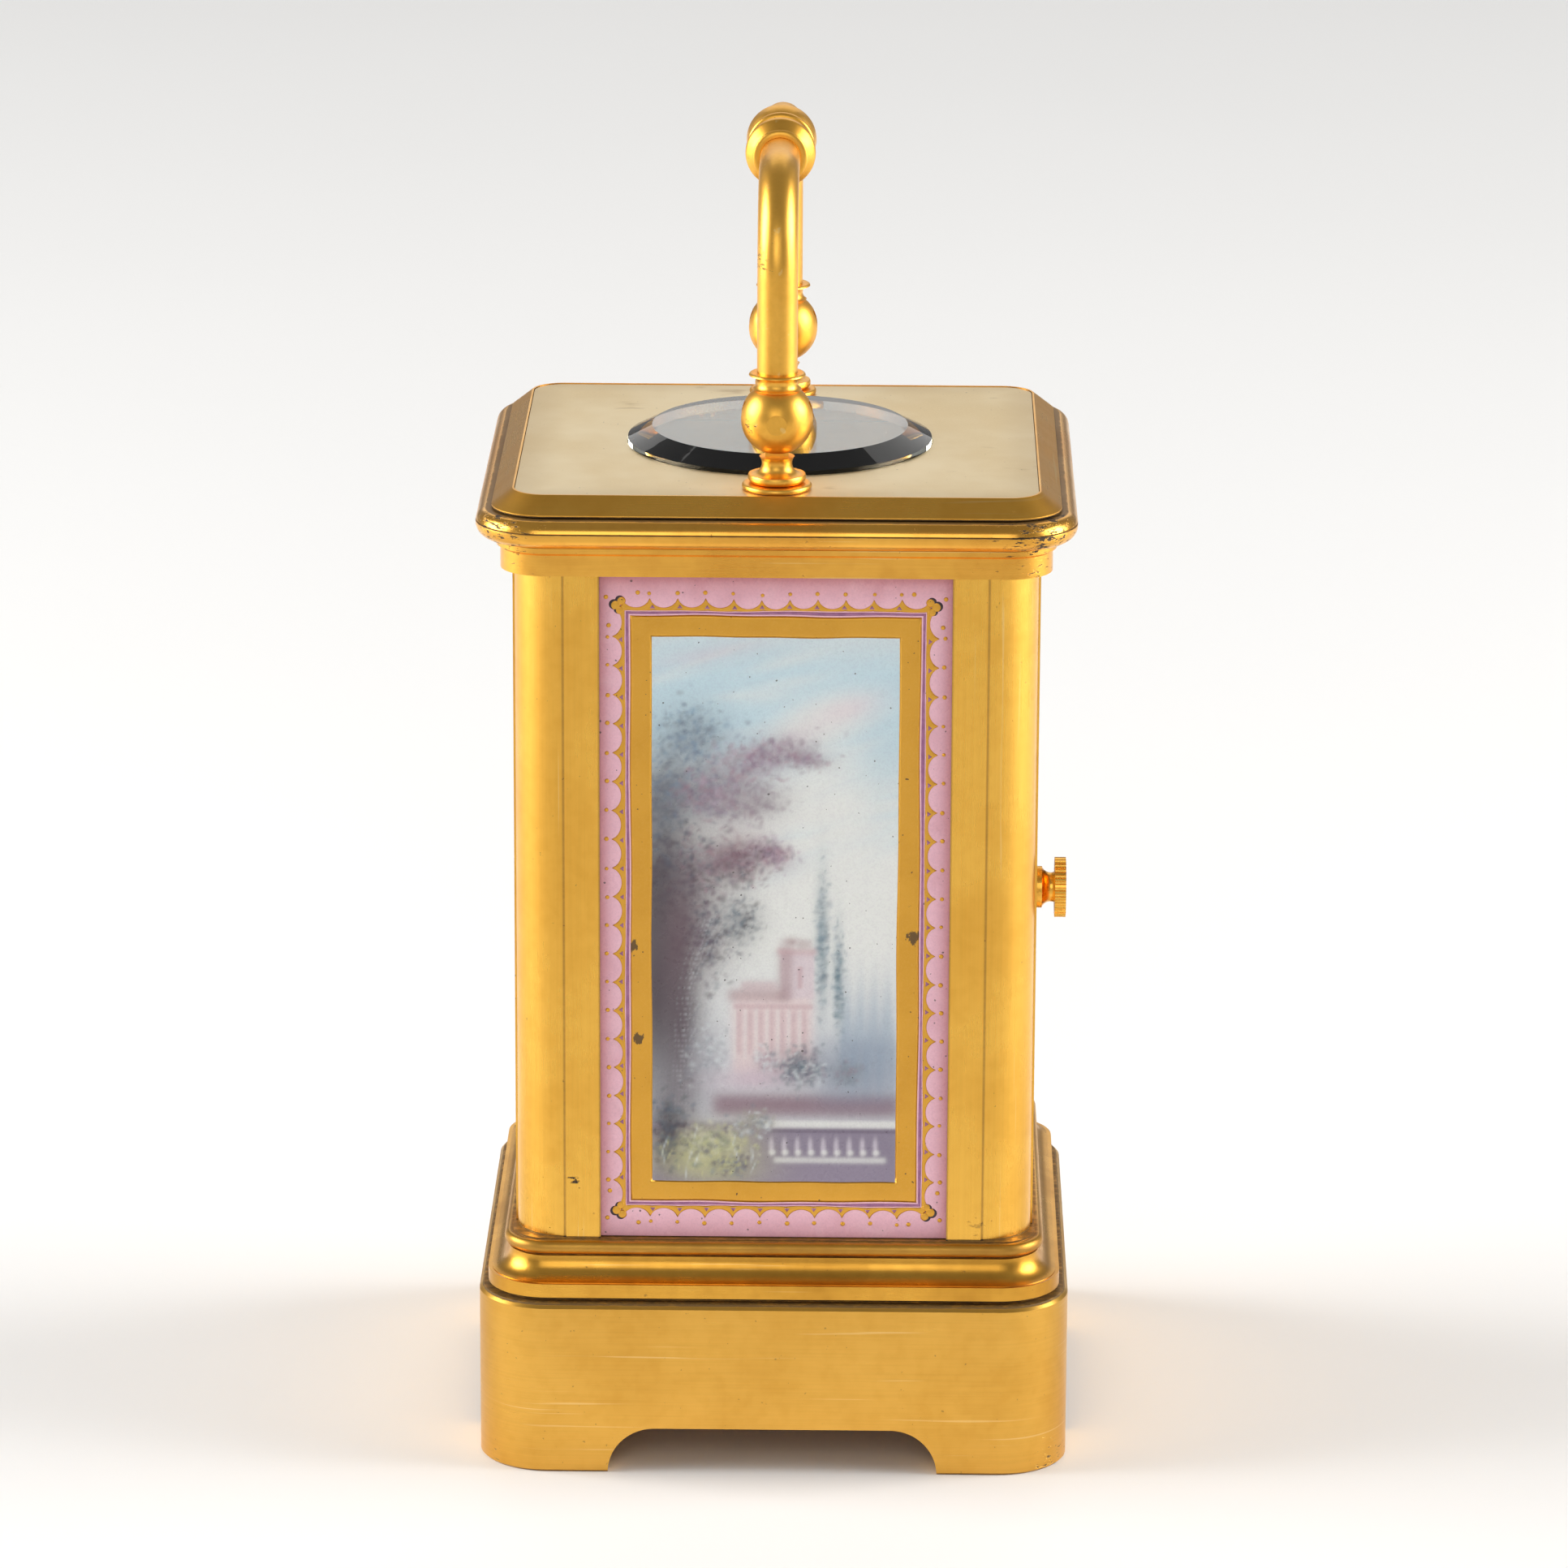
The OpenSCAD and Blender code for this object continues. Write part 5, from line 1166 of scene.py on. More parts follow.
@dataclass(frozen=True)
class GildedBorder:
    """A gold band, a mauve line, and a thin gold line whose outer side is a row of scallops with dots."""

    half: float = 9.50
    low: float = 4.75
    high: float = 48.90
    band: float = 1.78
    mauve: float = 0.30
    line: float = 0.30
    tip: float = 1.08
    arcs_across: int = 11
    arcs_up: int = 21
    seed: int = 3
    relief: float = 0.045

    def rectangle(self, grow: float, counts: tuple[int, int], wobble: float, seed: int) -> np.ndarray:
        """A wavering rectangle that stands outside the picture by grow.

        Args:
            grow: Distance outside the picture's edge.
            counts: Points along a level side and along an upright side.
            wobble: Size of the waver.
            seed: Chooses the waver.

        Returns:
            Points (across, up) anticlockwise from the bottom left.
        """
        half, low, high = self.half + grow, self.low - grow, self.high + grow
        rng = np.random.default_rng(seed)
        sides = []
        starts = np.array([[-half, low], [half, low], [half, high], [-half, high]])
        for side in range(4):
            step = (np.arange(counts[side % 2]) / counts[side % 2])[:, None]
            phase = rng.uniform(0, 6.28, 3)[None, :]
            drift = np.sin(np.array([[4.1, 9.1, 19.2]]) * step + phase).sum(axis=1, keepdims=True)
            drift = wobble * 0.5 * drift * np.sqrt(np.maximum(np.sin(np.pi * step), 0))
            run = starts[(side + 1) % 4] - starts[side]
            sides.append(starts[side] + run * step + drift * OUTWARD[side])
        return np.vstack(sides)

    def scallops(self, counts: tuple[int, int], per_arc: int) -> np.ndarray:
        """The outer side of the thin line.

        Between two tips it is a round hollow: tip (1 - sqrt(1 - 0.92 (2 f - 1)^2)), f running 0 to 1.

        Args:
            counts: Points along a level and an upright side.
            per_arc: Points in one arc.

        Returns:
            The points.
        """
        base = self.rectangle(self.band + self.mauve + self.line, counts, 0.07, self.seed + 2)
        f = (np.arange(sum(counts) * 2) % per_arc) / per_arc
        stand = self.tip * (1 - np.sqrt(1 - 0.92 * (2 * f - 1) ** 2))
        outward = np.repeat(OUTWARD, [counts[0], counts[1]] * 2, axis=0)
        corner = np.cumsum([0, counts[0], counts[1], counts[0]])
        stand[corner] *= 0.25
        return base + outward * stand[:, None]

    def draw(self, name: str, face: Face, paints: Paints) -> None:
        """Lays the border on a face.

        Args:
            name: Start of the pieces' names.
            face: The face.
            paints: The finishes.
        """
        gold, mauve, dark = Shape(), Shape(), Shape()

        def lay(shape: Shape, patch: Patch) -> None:
            """Adds a patch of paint to a shape."""
            across, up, proud, faces = patch
            shape.add(face.place(across, up, proud), faces)

        plain = (40, 90)
        lines = [self.rectangle(grow, plain, wobble, seed) for grow, wobble, seed in (
            (0.0, 0.05, self.seed), (self.band, 0.07, self.seed + 1), (self.band + 0.04, 0.07, self.seed + 1),
            (self.band + self.mauve, 0.06, self.seed + 4))]
        lay(gold, bead(lines[0], lines[1], self.relief, 8))
        lay(mauve, bead(lines[2], lines[3], self.relief * 0.5, 4))
        per_arc = 12
        counts = (self.arcs_across * per_arc, self.arcs_up * per_arc)
        outer = self.scallops(counts, per_arc)
        inner = self.rectangle(self.band + self.mauve + 0.03, counts, 0.06, self.seed + 4)
        lay(gold, bead(inner, outer, self.relief * 0.8, 6))
        rng = np.random.default_rng(self.seed + 9)
        starts = np.cumsum([0, counts[0], counts[1], counts[0]])
        for index in np.arange(0, len(outer), per_arc):
            if index in starts:
                continue
            side = int(np.searchsorted(starts, index, side="right")) - 1
            out = OUTWARD[side]
            along = np.array([-out[1], out[0]])
            drop = outer[index] + out * (0.36 + rng.uniform(-0.05, 0.06)) + along * rng.uniform(-0.06, 0.06)
            lay(gold, dome(drop[0], drop[1], 0.175 * rng.uniform(0.85, 1.15), 0.05, 12, 3))
            foot = inner[index] + out * 0.20
            corners = np.array([foot - along * 0.21, foot + along * 0.21, foot + out * 0.30])
            dart = face.place(corners[:, 0], corners[:, 1], np.full(3, self.relief * 0.8 + 0.006))
            mauve.add(*prism(dart, -0.03 * np.array(face.out)))
        corner_at = self.band + self.mauve + self.line + 0.05
        for sx in (-1, 1):
            for up, sz in ((self.low - corner_at, -1), (self.high + corner_at, 1)):
                x, z = sx * (self.half + corner_at), up
                for dx, dz, r in CORNER_LEAVES:
                    lay(gold, dome(x + sx * dx, z + sz * dz, r, 0.085, 16, 4))
                    lay(dark, dome(x + sx * (dx + 0.10), z + sz * (dz + 0.05), r * 1.06, 0.05, 16, 4))
                for dx, dz in CORNER_DOTS:
                    lay(gold, dome(x + sx * dx, z + sz * dz, 0.19, 0.05, 12, 3))
        gold.piece(f"{name}_gold", paints.gold, "case", "porcelain")
        mauve.piece(f"{name}_mauve_line", paints.mauve, "case", "porcelain")
        dark.piece(f"{name}_corner_outlines", paints.outline, "case", "porcelain")


@dataclass
class PorcelainPanel:
    """A painted side panel: a glazed slab whose front carries the picture and the gilded border."""

    node: str
    side: int
    landscape: Landscape
    paints: Paints
    columns: int = 204
    rows: int = 458
    border: GildedBorder = field(default_factory=GildedBorder)
    ground: Colour = paint(251, 199, 214)
    deep: Colour = paint(196, 120, 134)

    def picture(self, across: np.ndarray, up: np.ndarray) -> np.ndarray:
        """Paints the whole front: landscape inside, rose ground outside, with painted shade deepening the
        ground towards the slab's edges, most at the sides and top.

        Args:
            across: Positions of the columns.
            up: Positions of the rows.

        Returns:
            Colours, row by row.
        """
        canvas = Canvas(across, up, self.landscape.pale, self.landscape.seed)
        self.landscape.lay(canvas)
        ground = Canvas(across, up, self.ground, self.landscape.seed + 1)
        edge = self.border
        x, z = np.abs(across)[None, :], up[:, None]
        outside = np.maximum(x - edge.half, np.maximum(edge.low - z, z - edge.high))
        # Painted shade: the ground deepens with distance beyond the border, towards the pillars and
        # mouldings.
        depth = np.clip((outside - 2.6) / 1.8, 0, 1)[..., None]
        ground.rgb += depth * 0.45 * (np.array(self.deep) - ground.rgb)
        pale = paint(250, 208, 218)
        chance = ground.rng.uniform
        for _ in range(260):
            colour = (self.deep, pale, self.ground)[ground.rng.integers(3)]
            ground.stroke(chance(-14, 14), chance(0, 54), chance(0.5, 1.6), chance(0.3, 0.8), chance(0, 180),
                          colour, 0.20)
        # Painted shade: deeper strips along both sides and the top of the slab, one side a little darker.
        edges = ((-14.5, -13.1, 0, 54, 0.55, 0.7), (13.1, 14.5, 0, 54, 0.45, 0.7),
                 (-14.5, 14.5, 53.4, 54.5, 0.65, 0.6))
        for left, right, low, high, cover, soft in edges:
            ground.block(left, right, low, high, self.deep, cover, soft)
        share = 1 / (1 + np.exp(-np.clip((outside - 0.5) * 25, -40, 40)))[..., None]
        return (canvas.rgb * (1 - share) + ground.rgb * share).reshape(-1, 3)

    def build(self) -> None:
        """Makes the slab, its picture and its border in place of the CAD panel."""
        low, high = corners_of(self.node)
        foot = corners_of("base_moulding")[1][2]
        outer = high[0] if self.side > 0 else low[0]
        face = Face((outer, 0.0, foot), (0.0, float(self.side), 0.0), (float(self.side), 0.0, 0.0))
        half, thick = high[1], high[0] - low[0]
        across = np.linspace(-half, half, self.columns)
        up = np.linspace(low[2] - foot, high[2] - foot, self.rows)
        wide, tall = np.meshgrid(across, up)
        front = face.place(wide, tall, np.zeros_like(wide))
        number = np.arange(self.rows * self.columns).reshape(self.rows, self.columns)
        loop = np.concatenate([number[0, :-1], number[:-1, -1], number[-1, :0:-1], number[:0:-1, 0]])
        back = front[loop] - thick * np.array(face.out)
        start, count = len(front), len(loop)
        here, there = np.arange(count), (np.arange(count) + 1) % count
        rim = np.stack([loop[here], start + here, start + there, loop[there]], axis=-1)
        shape = Shape()
        shape.points = np.vstack([front, back])
        shape.faces = (grid_faces(self.rows, self.columns).tolist() + rim.tolist()
                       + [(start + here[::-1]).tolist()])
        colours = np.vstack([self.picture(across, up), np.tile(self.landscape.white, (count, 1))])
        slab = shape.piece(f"{self.node}_porcelain", self.paints.porcelain, "case", "porcelain", smooth=False,
                           colours=colours)
        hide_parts(self.node)
        self.border.draw(self.node, face, self.paints)


# ---------------------------------------------------------------- dial


@dataclass
class Dial:
    """The painted dial: rose ground with roses, a white enamel chapter ring, numerals and gilded lines.

    The window of roses is given by its half width, the height of its middle and its half height.
    """

    paints: Paints
    enamel: bpy.types.Material
    ink: bpy.types.Material
    ring_r: float = 10.15
    numeral_r: float = 7.75
    numeral_h: float = 1.75
    hole_r: float = 1.75
    columns: int = 440
    steps: int = 190
    gold_lines: tuple[tuple[float, float], ...] = ((5.95, 6.1), (8.95, 9.05), (2.2, 2.5))
    minute_r: float = 9.5
    sprays: tuple[float, float] = (2.2, 37.0)
    window: tuple[float, float, float] = (9.4, 26.8, 23.9)

    def build(self) -> None:
        """Makes the panel, the chapter ring, its marks and the gilded lines in place of the CAD panel."""
        low, high = corners_of("dial_panel")
        foot = corners_of("base_moulding")[1][2]
        centre = pivot_of("hand_setting_turn")[2] - foot
        face = Face((0.0, low[1], foot), (1.0, 0.0, 0.0), (0.0, -1.0, 0.0))
        self.ground(face, high[0], low[2] - foot, high[2] - foot, high[1] - low[1], centre)
        self.chapter_ring(face, centre)
        self.marks(face, centre)
        GildedBorder(half=9.3, low=3.0, high=50.6, band=0.55, mauve=0.22, line=0.22, tip=0.6, arcs_across=12,
                     arcs_up=28, seed=31).draw("dial_border", face, self.paints)

    def ground(self, face: Face, half: float, low: float, high: float, thick: float, centre: float) -> None:
        """The slab. Each column of points runs from the hole's rim to the edge of the slab and back behind.

        A point is the rim point plus s times the step to the edge, with s growing evenly from 0 to 1.

        Args:
            face: The dial's face.
            half: Half the width of the slab.
            low: Its bottom.
            high: Its top.
            thick: Its thickness.
            centre: Height of the hole.
        """
        counts = (self.columns // 6, self.columns // 2 - self.columns // 6)
        edge = GildedBorder(half=half, low=low, high=high).rectangle(0.0, counts, 0.0, 1)
        angle = np.arctan2(edge[:, 1] - centre, edge[:, 0])
        rim = np.c_[self.hole_r * np.cos(angle), centre + self.hole_r * np.sin(angle)]
        share = np.linspace(0, 1, self.steps)[:, None, None]
        front = rim[None] + share * (edge - rim)[None]
        flat = np.concatenate([front, edge[None], rim[None]])
        proud = np.zeros(flat.shape[:2])
        proud[-2:] = -thick
        points = face.place(flat[..., 0], flat[..., 1], proud)
        faces = grid_faces(len(flat), len(edge), closed_rows=True, closed_columns=True)[:, ::-1]
        across, up = np.linspace(-half, half, 300), np.linspace(low, high, 560)
        canvas = Canvas(across, up, paint(240, 186, 202), 12)
        roses = Landscape(Scene.ROSES, 5)
        chance, tones = canvas.rng.uniform, (paint(212, 146, 166), paint(250, 208, 218))
        for touch in range(200):
            canvas.stroke(chance(-14, 14), chance(0, 54), 1.4, 0.6, chance(0, 180), tones[touch % 2], 0.22)
        panel = Canvas(across, up, roses.white, 14)
        panel.origin = (0.0, self.sprays[0])
        roses.roses(panel)
        panel.origin = (0.0, self.sprays[1])
        roses.roses_spray(panel)
        wide, middle, tall = self.window
        inside = (np.abs(across)[None, :] < wide) & (np.abs(up[:, None] - middle) < tall)
        canvas.rgb[inside] = panel.rgb[inside]
        column = np.clip(np.searchsorted(across, flat[..., 0].ravel()), 0, len(across) - 1)
        row = np.clip(np.searchsorted(up, flat[..., 1].ravel()), 0, len(up) - 1)
        shape = Shape().add(points, faces)
        slab = shape.piece("dial_porcelain", self.paints.porcelain, "case", "porcelain", smooth=False,
                           colours=canvas.rgb[row, column])
        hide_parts("dial_panel")

    def chapter_ring(self, face: Face, centre: float) -> None:
        """A white ring, gently crowned like a watch glass, between two gold lines.

        Args:
            face: The dial's face.
            centre: Height of its middle.
        """
        angle = 2 * np.pi * np.arange(160) / 160

        def ring(inner: float, outer: float, height: float, steps: int) -> Patch:
            """A bead between two circles."""
            middle, turn = np.array([0, centre]), np.c_[np.cos(angle), np.sin(angle)]
            return bead(middle + inner * turn, middle + outer * turn, height, steps)
        white, gold = Shape(), Shape()
        across, up, proud, faces = ring(self.hole_r + 0.05, self.ring_r, 0.12, 28)
        white.add(face.place(across, up, proud), faces)
        for inner, outer in ((self.ring_r - 0.1, self.ring_r + 0.35), *self.gold_lines):
            across, up, proud, faces = ring(inner, outer, 0.16, 6)
            gold.add(face.place(across, up, proud), faces)
        for minute in range(60):
            turn = math.radians(6 * minute)
            radius, height = (0.17, 0.17) if minute % 5 == 0 else (0.09, 0.14)
            x, z = self.minute_r * math.sin(turn), centre + self.minute_r * math.cos(turn)
            across, up, proud, faces = dome(x, z, radius, height, 10, 3)
            gold.add(face.place(across, up, proud), faces)
        white.piece("dial_chapter_ring", self.enamel, "case", "porcelain")
        gold.piece("dial_rings_and_minutes", self.paints.gold, "case", "porcelain")

    def marks(self, face: Face, centre: float) -> None:
        """Roman hour numerals, built from thick and thin strokes with small serifs.

        Args:
            face: The dial's face.
            centre: Height of the dial's middle.
        """
        shape = Shape()
        numerals = ["XII", "I", "II", "III", "IIII", "V", "VI", "VII", "VIII", "IX", "X", "XI"]
        widths = {"I": 0.46, "V": 0.98, "X": 1.0}
        half = self.numeral_h / 2
        thick, thin, serif, hair = 0.13, 0.05, 0.17, 0.035
        for hour, numeral in enumerate(numerals):
            turn = math.radians(30 * hour)
            radial = np.array([math.sin(turn), math.cos(turn)])
            tangent = np.array([math.cos(turn), -math.sin(turn)])
            pen = -sum(widths[letter] for letter in numeral) / 2
            for letter in numeral:
                mid, reach = pen + widths[letter] / 2, widths[letter] / 2 - 0.16
                left, right = mid - reach, mid + reach
                strokes = {
                    "I": [(mid, -half, mid, half, thick)],
                    "V": [(left, half, mid, -half, thick), (mid, -half, right, half, thin)],
                    "X": [(left, half, right, -half, thick), (left, -half, right, half, thin)],
                }[letter]
                feet = {"I": [(mid, -half), (mid, half)], "V": [(left, half), (right, half)],
                        "X": [(left, half), (right, half), (left, -half), (right, -half)]}
                strokes += [(x - serif, z, x + serif, z, hair) for x, z in feet[letter]]
                for x0, z0, x1, z1, wide in strokes:
                    side = np.array([-(z1 - z0), x1 - x0]) / math.hypot(x1 - x0, z1 - z0) * wide
                    flat = np.array([[x0, z0] - side, [x1, z1] - side, [x1, z1] + side, [x0, z0] + side])
                    spot = (self.numeral_r + flat[:, 1])[:, None] * radial + flat[:, :1] * tangent
                    top = face.place(spot[:, 0], centre + spot[:, 1], np.full(4, 0.125 + wide * 0.03))
                    shape.add(*prism(top, -0.04 * np.array(face.out)))
                pen += widths[letter]
        shape.piece("dial_numerals", self.ink, "case", "porcelain", smooth=False)


# ---------------------------------------------------------------- handle and movement details


@dataclass
class Knop:
    """The turned knop in the middle of the grip: a ringed waist between two bells and two collars."""

    material: bpy.types.Material
    bore_r: float = 1.56
    half: tuple[tuple[float, float], ...] = (
        (0.0, 2.62), (0.18, 2.63), (0.33, 2.50), (0.44, 2.20), (0.60, 1.99), (0.84, 1.98), (0.98, 2.10),
        (1.30, 2.36), (1.85, 2.59), (2.40, 2.71), (2.76, 2.74), (3.08, 2.69), (3.42, 2.45), (3.80, 2.12),
        (4.12, 1.90), (4.26, 1.90), (4.36, 2.05), (4.48, 2.13), (4.62, 2.08), (4.72, 1.88), (4.74, 1.60))

    def build(self) -> None:
        """Turns the profile about the grip's axis and puts it in place of the CAD knop."""
        low, high = corners_of("handle_knop")
        outside = smooth_line(self.half, 5)
        outside[:, 1] = np.maximum(outside[:, 1], self.bore_r)
        profile = np.vstack([outside[::-1] * (-1, 1), outside[1:]])
        loop = np.vstack([(profile[0, 0], self.bore_r), profile, (profile[-1, 0], self.bore_r)])
        points, faces = lathe(loop[:, ::-1], 112, closed=True)
        placed = points[:, [2, 0, 1]] + (low + high) / 2
        shape = Shape().add(placed, faces)
        knop = shape.piece("handle_knop_turning", self.material, "handle", "bright_gilt", weld=True)
        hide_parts("handle_knop")


@dataclass
class MovementTrim:
    """Jewels in their gold settings, and the cut scale of the regulator."""

    ruby: bpy.types.Material
    gold: bpy.types.Material
    ink: bpy.types.Material
    jewel_r: float = 0.42
    balance_jewel_r: float = 0.30
    cut_half: float = 0.035
    cut_inner_r: float = 5.02
    cut_outer_r: float = 5.45

    def jewel(self, middle: np.ndarray, radius: float) -> tuple[Shape, Shape]:
        """A domed stone in a rounded setting.

        The stone is a flat dome, height 0.16 r sqrt(1 - (s / r)^2); the setting is a ring of oval section.

        Args:
            middle: Where it sits.
            radius: Radius of the stone.

        Returns:
            The stone and the setting.
        """
        s = np.linspace(0, 1, 8)
        top = np.c_[radius * (1 - s), 0.10 + 0.16 * radius * np.sqrt(1 - (1 - s) ** 2)]
        stone, faces = lathe(np.vstack([(0.0, -0.03), (radius, -0.03), top]), 32)
        turn = np.linspace(0, 2 * np.pi, 13)
        section = np.c_[radius * 1.22 + 0.24 * radius * np.cos(turn), 0.04 + 0.11 * np.sin(turn)]
        ring, ring_faces = lathe(section, 36)
        return Shape().add(stone + middle, faces), Shape().add(ring + middle, ring_faces)

    def build(self) -> None:
        """Sets the jewels over the pivots and cuts the regulator's scale."""
        bridge_top = corners_of("pallet_bridge")[1][2]
        cock_top = corners_of("regulator_index")[0][2] - 0.02
        balance = pivot_of("balance_swing")
        seats = {"escape": (pivot_of("escape_turn"), bridge_top),
                 "lever": (pivot_of("pallet_rock"), bridge_top),
                 "balance": (balance, cock_top)}
        for name, (pivot, height) in seats.items():
            radius = self.balance_jewel_r if name == "balance" else self.jewel_r
            stone, setting = self.jewel(np.array([pivot[0], pivot[1], height]), radius)
            stone.piece(f"{name}_jewel", self.ruby, "case", "movement_brass", weld=True)
            setting.piece(f"{name}_jewel_setting", self.gold, "case", "movement_brass", weld=True)
        cuts = Shape()
        for step in range(-3, 4):
            turn = math.radians(180 + 3.4 * step)
            radial = np.array([math.cos(turn), math.sin(turn)])
            side = self.cut_half * np.array([-math.sin(turn), math.cos(turn)])
            near, far = radial * self.cut_inner_r, radial * (self.cut_outer_r + (0.3 if step == 0 else 0.0))
            flat = np.array([near - side, far - side, far + side, near + side]) + balance[:2]
            cuts.add(*prism(np.c_[flat, np.full(4, cock_top + 0.006)], np.array([0.0, 0.0, -0.03])))
        cuts.piece("regulator_scale", self.ink, "case", "movement_brass", smooth=False)


# ---------------------------------------------------------------- finishes of the CAD nodes


class Dressing:
    """Gives every CAD node its finish."""

    def __init__(self) -> None:
        """Makes the finishes."""
        front_corner = WornSpot((21.4, -22.6, 76.2), 7.5, 1.0)
        rear_corner = WornSpot((21.6, 21.5, 76.0), 8.5, 1.0)
        # In these finishes the dark lines at given heights and the upright lines at given distances are
        # painted shade; the worn spots are real wear.
        self.finishes: dict[str, bpy.types.Material] = {
            "plinth": Gilding("gilding_plinth", bright=(0.79, 0.44, 0.085), toned=(0.64, 0.32, 0.045),
                              grain=Grain.LENGTHWAYS, roughness=0.29, clouding=0.35, shift=1.0, lines=0.0014,
                              worn=(WornSpot((22, 23, 13.8), 3.0, 0.7), WornSpot((21, -23, 0), 3.0, 0.7),
                                    WornSpot((20.5, 22.8, 0.3), 4.0, 0.8)),
                              groove_shade=(ShadeLine(13.95, 0.16, 0.85), ShadeLine(0.0, 0.14, 0.7))).make(),
            "moulding": Gilding("gilding_base_moulding", bright=(0.82, 0.43, 0.065),
                                toned=(0.60, 0.29, 0.040), grain=Grain.LENGTHWAYS, clouding=0.8, shift=2.0,
                                groove_shade=(ShadeLine(14.1, 0.22, 0.9), ShadeLine(18.55, 0.14, 0.8),
                                      ShadeLine(17.30, 0.10, 0.8), ShadeLine(18.0, 0.75, 0.30))).make(),
            "pillar": Gilding("gilding_pillars", grain=Grain.UPRIGHT, roughness=0.26, clouding=0.5, shift=3.0,
                              worn=(WornSpot((19.1, -15.6, 23.4), 1.1, 1.0),
                                    WornSpot((19, 16, 20), 1.6, 0.4)),
                              crease_shade=(16.42, 13.62),
                              groove_shade=(ShadeLine(18.65, 0.12, 0.8), ShadeLine(72.55, 0.12, 0.7))).make(),
            "cornice": Gilding("gilding_cornice", bright=(0.96, 0.50, 0.085), toned=(0.74, 0.34, 0.05),
                               grain=Grain.LENGTHWAYS, roughness=0.22, clouding=0.6, shift=4.0,
                               worn=(front_corner, rear_corner, WornSpot((-21.4, -22.4, 76.2), 6.0, 0.8)),
                               groove_shade=(ShadeLine(76.30, 0.10, 0.8), ShadeLine(75.02, 0.12, 0.9),
                                     ShadeLine(77.25, 0.12, 0.8))).make(),
            "top_frame": Gilding("gilding_top_frame", bright=(0.97, 0.52, 0.09), toned=(0.82, 0.41, 0.06),
                                 grain=Grain.LENGTHWAYS, roughness=0.27, clouding=0.9, shift=5.0,
                                 groove_shade=(ShadeLine(77.42, 0.10, 0.9),)).make(),
            "handle": Gilding("gilding_handle", bright=(0.98, 0.53, 0.09), toned=(0.78, 0.38, 0.05),
                              grain=Grain.FOUR_WAYS, roughness=0.33, clouding=0.6, lines=0.0012, shift=6.0,
                              worn=(WornSpot((18.0, -2.3, 84.1), 1.8, 0.9),
                                    WornSpot((16.6, -1.4, 96.5), 2.6, 0.7),
                                    WornSpot((-17.5, 1.2, 88.0), 2.2, 0.6))).make(),
            "knob": Gilding("gilding_knob", grain=Grain.FOUR_WAYS, roughness=0.24, shift=7.0).make(),
            "door": Gilding("gilding_door", grain=Grain.UPRIGHT, roughness=0.26, clouding=0.5, shift=8.0,
                            worn=(WornSpot((12, 20.4, 45), 4.0, 0.6),)).make(),
            "top_plate": SatinPlate().make(),
            "glass": Glass("bevelled_glass_pane").make(),
            "top_glass": Glass("bevelled_top_glass", tint=(0.86, 0.93, 0.90), bloom=0.07).make(),
            "plates": Metal("grained_plate_brass", (0.86, 0.60, 0.22), (0.70, 0.44, 0.12), 0.24,
                            Grain.UPRIGHT, 0.0012).make(),
            "wheels": Metal("polished_wheel_brass", (0.88, 0.62, 0.24), (0.74, 0.48, 0.15), 0.20).make(),
            "balance": Metal("gilt_balance", (0.92, 0.66, 0.26), (0.80, 0.50, 0.14), 0.14).make(),
            "steel": Metal("polished_steel_work", (0.60, 0.61, 0.63), (0.42, 0.41, 0.40), 0.16).make(),
            "rough_steel": Metal("greyed_steel_work", (0.42, 0.42, 0.43), (0.26, 0.24, 0.22), 0.30).make(),
            "blue": BluedSteel().make(),
        }

    def apply(self) -> None:
        """Puts each finish in the material slots of the nodes that have it."""
        groups = {
            "plinth": "plinth", "moulding": "base_moulding", "cornice": "cornice", "top_frame": "top_frame",
            "pillar": "pillar_front_right pillar_front_left pillar_rear_right pillar_rear_left",
            "handle": "handle_bail handle_post_right handle_post_left handle_pins", "top_plate": "top_plate",
            "knob": "door_knob door_catch top_glass_ring", "door": "door_frame",
            "glass": "front_glass door_glass", "top_glass": "top_glass",
            "balance": "balance_wheel escape_wheel",
            "plates": "front_plate back_plate platform pallet_bridge balance_cock dial_backing movement_feet "
                      "movement_pillars",
            "wheels": "barrel barrel_cap centre_wheel third_wheel contrate_wheel minute_wheel hour_wheel",
            "steel": "barrel_arbor centre_arbor cannon_pinion ratchet_wheel click pallet_lever "
                     "regulator_index door_hinge_pins",
            "rough_steel": "case_screws movement_screws post_nuts",
            "blue": "plate_screws platform_screws click_screw click_spring mainspring hairspring "
                    "hour_hand minute_hand",
        }
        for finish, nodes in groups.items():
            for node in nodes.split():
                thing = frame["nodes"][node]
                for slot in thing.material_slots:
                    slot.material = self.finishes[finish]
                log.info("%s is finished as %s", node, finish)


# ---------------------------------------------------------------- studio


@dataclass(frozen=True)
class SoftBox:
    """A square soft light that faces the clock."""

    name: str
    place: Vec
    size: float
    power: float
    tint: Colour = (1.0, 0.985, 0.96)

    def build(self) -> None:
        """Adds the light, turned towards the middle of the clock."""
        lamp = bpy.data.lights.new(self.name, "AREA")
        lamp.shape, lamp.size, lamp.energy, lamp.color = "SQUARE", self.size, self.power, self.tint
        thing = bpy.data.objects.new(self.name, lamp)
        bpy.context.scene.collection.objects.link(thing)
        away = np.array(self.place) - np.array((0.0, 0.0, 0.05))
        back = away / np.linalg.norm(away)
        right = np.cross((0.0, 0.0, 1.0), back) if abs(back[2]) < 0.999 else np.array((1.0, 0.0, 0.0))
        right /= np.linalg.norm(right)
        top = np.cross(back, right)
        turn = np.eye(4)
        turn[:3, 0], turn[:3, 1], turn[:3, 2], turn[:3, 3] = right, top, back, self.place
        thing.matrix_world = Matrix(turn.tolist())


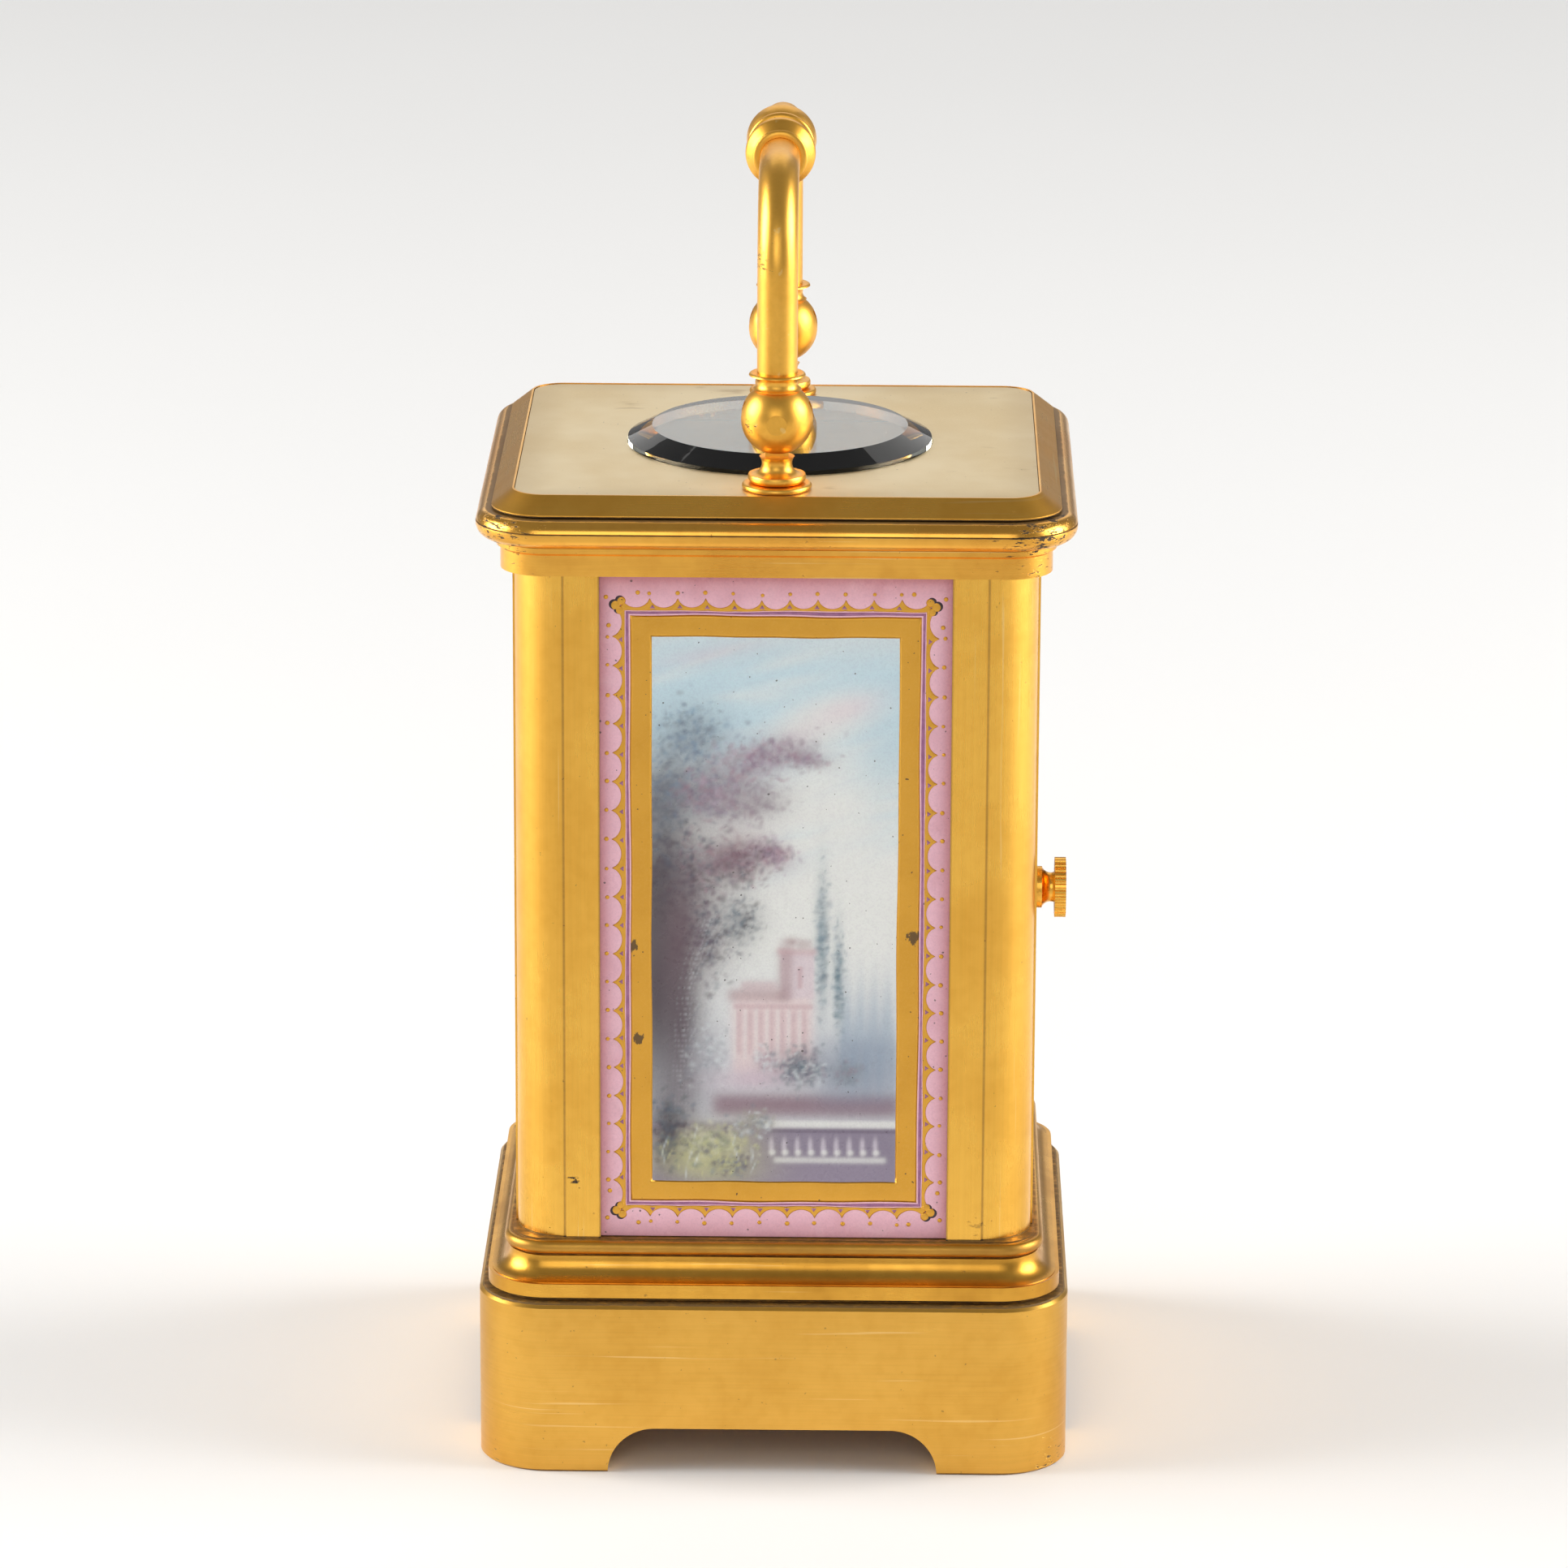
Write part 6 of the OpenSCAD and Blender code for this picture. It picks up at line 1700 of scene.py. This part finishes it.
@dataclass(frozen=True)
class Studio:
    """Pale floor, pale surroundings, soft lights and the camera."""

    eye: Vec = (0.5758, 0.00798, 0.2165)
    yaw: float = 0.0131
    pitch: float = 0.2808
    roll: float = 0.0043
    lens: float = 171.92
    surround: float = 0.26

    def floor(self) -> None:
        """A wide pale floor with faint unevenness, and painted shade that greys it in front of the clock."""
        mix = Recipe("studio_floor")
        cloud = mix.noise(6.0, 2.0, 0.5)
        pale = mix.mix(cloud, (0.90, 0.90, 0.90), (0.93, 0.93, 0.93))
        # Painted shade: the floor greys towards the camera, in front of the clock.
        near = mix.axis("X").rise(0.03, 0.10)
        material = mix.finish(Base_Color=mix.mix(near, pale, (0.70, 0.70, 0.70)), Roughness=0.85)
        mesh = bpy.data.meshes.new("floor")
        mesh.from_pydata([(-4, -4, 0), (4, -4, 0), (4, 4, 0), (-4, 4, 0)], [], [(0, 1, 2, 3)])
        mesh.materials.append(material)
        thing = bpy.data.objects.new("floor", mesh)
        bpy.context.scene.collection.objects.link(thing)

    def surroundings(self) -> None:
        """An even grey-white world."""
        world = bpy.data.worlds.new("studio")
        world.use_nodes = True
        world.node_tree.nodes["Background"].inputs["Color"].default_value = (1.0, 1.0, 1.0, 1.0)
        world.node_tree.nodes["Background"].inputs["Strength"].default_value = self.surround
        bpy.context.scene.world = world
        bpy.context.scene.view_settings.view_transform = "Standard"

    def camera(self) -> None:
        """The camera: looks along (-cos pitch cos yaw, -cos pitch sin yaw, -sin pitch), rolled a little."""
        data = bpy.data.cameras.new("camera")
        data.lens, data.sensor_width, data.clip_start, data.clip_end = self.lens, 36.0, 0.01, 20.0
        level, drop = math.cos(self.pitch), math.sin(self.pitch)
        ahead = np.array([-level * math.cos(self.yaw), -level * math.sin(self.yaw), -drop])
        right = np.array([-math.sin(self.yaw), math.cos(self.yaw), 0.0])
        top = np.cross(right, ahead)
        rolled = math.cos(self.roll) * right + math.sin(self.roll) * top
        upright = -math.sin(self.roll) * right + math.cos(self.roll) * top
        turn = np.eye(4)
        turn[:3, 0], turn[:3, 1], turn[:3, 2], turn[:3, 3] = rolled, upright, -ahead, self.eye
        thing = bpy.data.objects.new("camera", data)
        bpy.context.scene.collection.objects.link(thing)
        thing.matrix_world = Matrix(turn.tolist())
        bpy.context.scene.camera = thing

    def build(self) -> None:
        """Sets everything up."""
        self.floor()
        self.surroundings()
        self.camera()
        for light in (SoftBox("back_light", (-1.25, 0.0, 0.80), 1.1, 2.9),
                      SoftBox("left_light", (-0.05, -1.00, 0.50), 0.6, 9.0),
                      SoftBox("right_light", (-0.05, 1.00, 0.52), 0.6, 8.0),
                      SoftBox("left_card", (0.06, -0.52, 0.20), 0.38, 1.25),
                      SoftBox("right_card", (0.06, 0.52, 0.20), 0.38, 1.25),
                      SoftBox("front_light", (1.35, -0.1, 0.60), 0.8, 3.0)):
            light.build()


def main() -> None:
    """Builds the studio, the finishes and the pieces in order."""
    logging.basicConfig(level=logging.INFO, format="%(name)s: %(message)s")
    Studio().build()
    dressing = Dressing()
    dressing.apply()
    ink = Enamel("dark_ink", (0.022, 0.014, 0.020), (0.05, 0.03, 0.045), 0.35).make()
    rubbed = (WornSpot((18.8, -10.6, 35.1), 1.1), WornSpot((18.8, 10.9, 43.5), 1.4),
              WornSpot((18.8, -11.2, 42.6), 1.2))
    paints = Paints(PaintedPorcelain("painted_porcelain").make(), FiredGold(worn=rubbed).make(),
                    Enamel("mauve_enamel", paint(172, 112, 152), paint(150, 92, 132)).make(), ink)
    PorcelainPanel("side_panel_right", 1, Landscape(Scene.VILLA, 7), paints).build()
    PorcelainPanel("side_panel_left", -1, Landscape(Scene.LAKE, 19), paints).build()
    Dial(paints, Enamel("white_enamel", (0.83, 0.82, 0.80), (0.86, 0.85, 0.83), 0.18).make(), ink).build()
    Knop(dressing.finishes["handle"]).build()
    MovementTrim(Ruby().make(), dressing.finishes["balance"], ink).build()


if __name__ == "__main__":
    main()
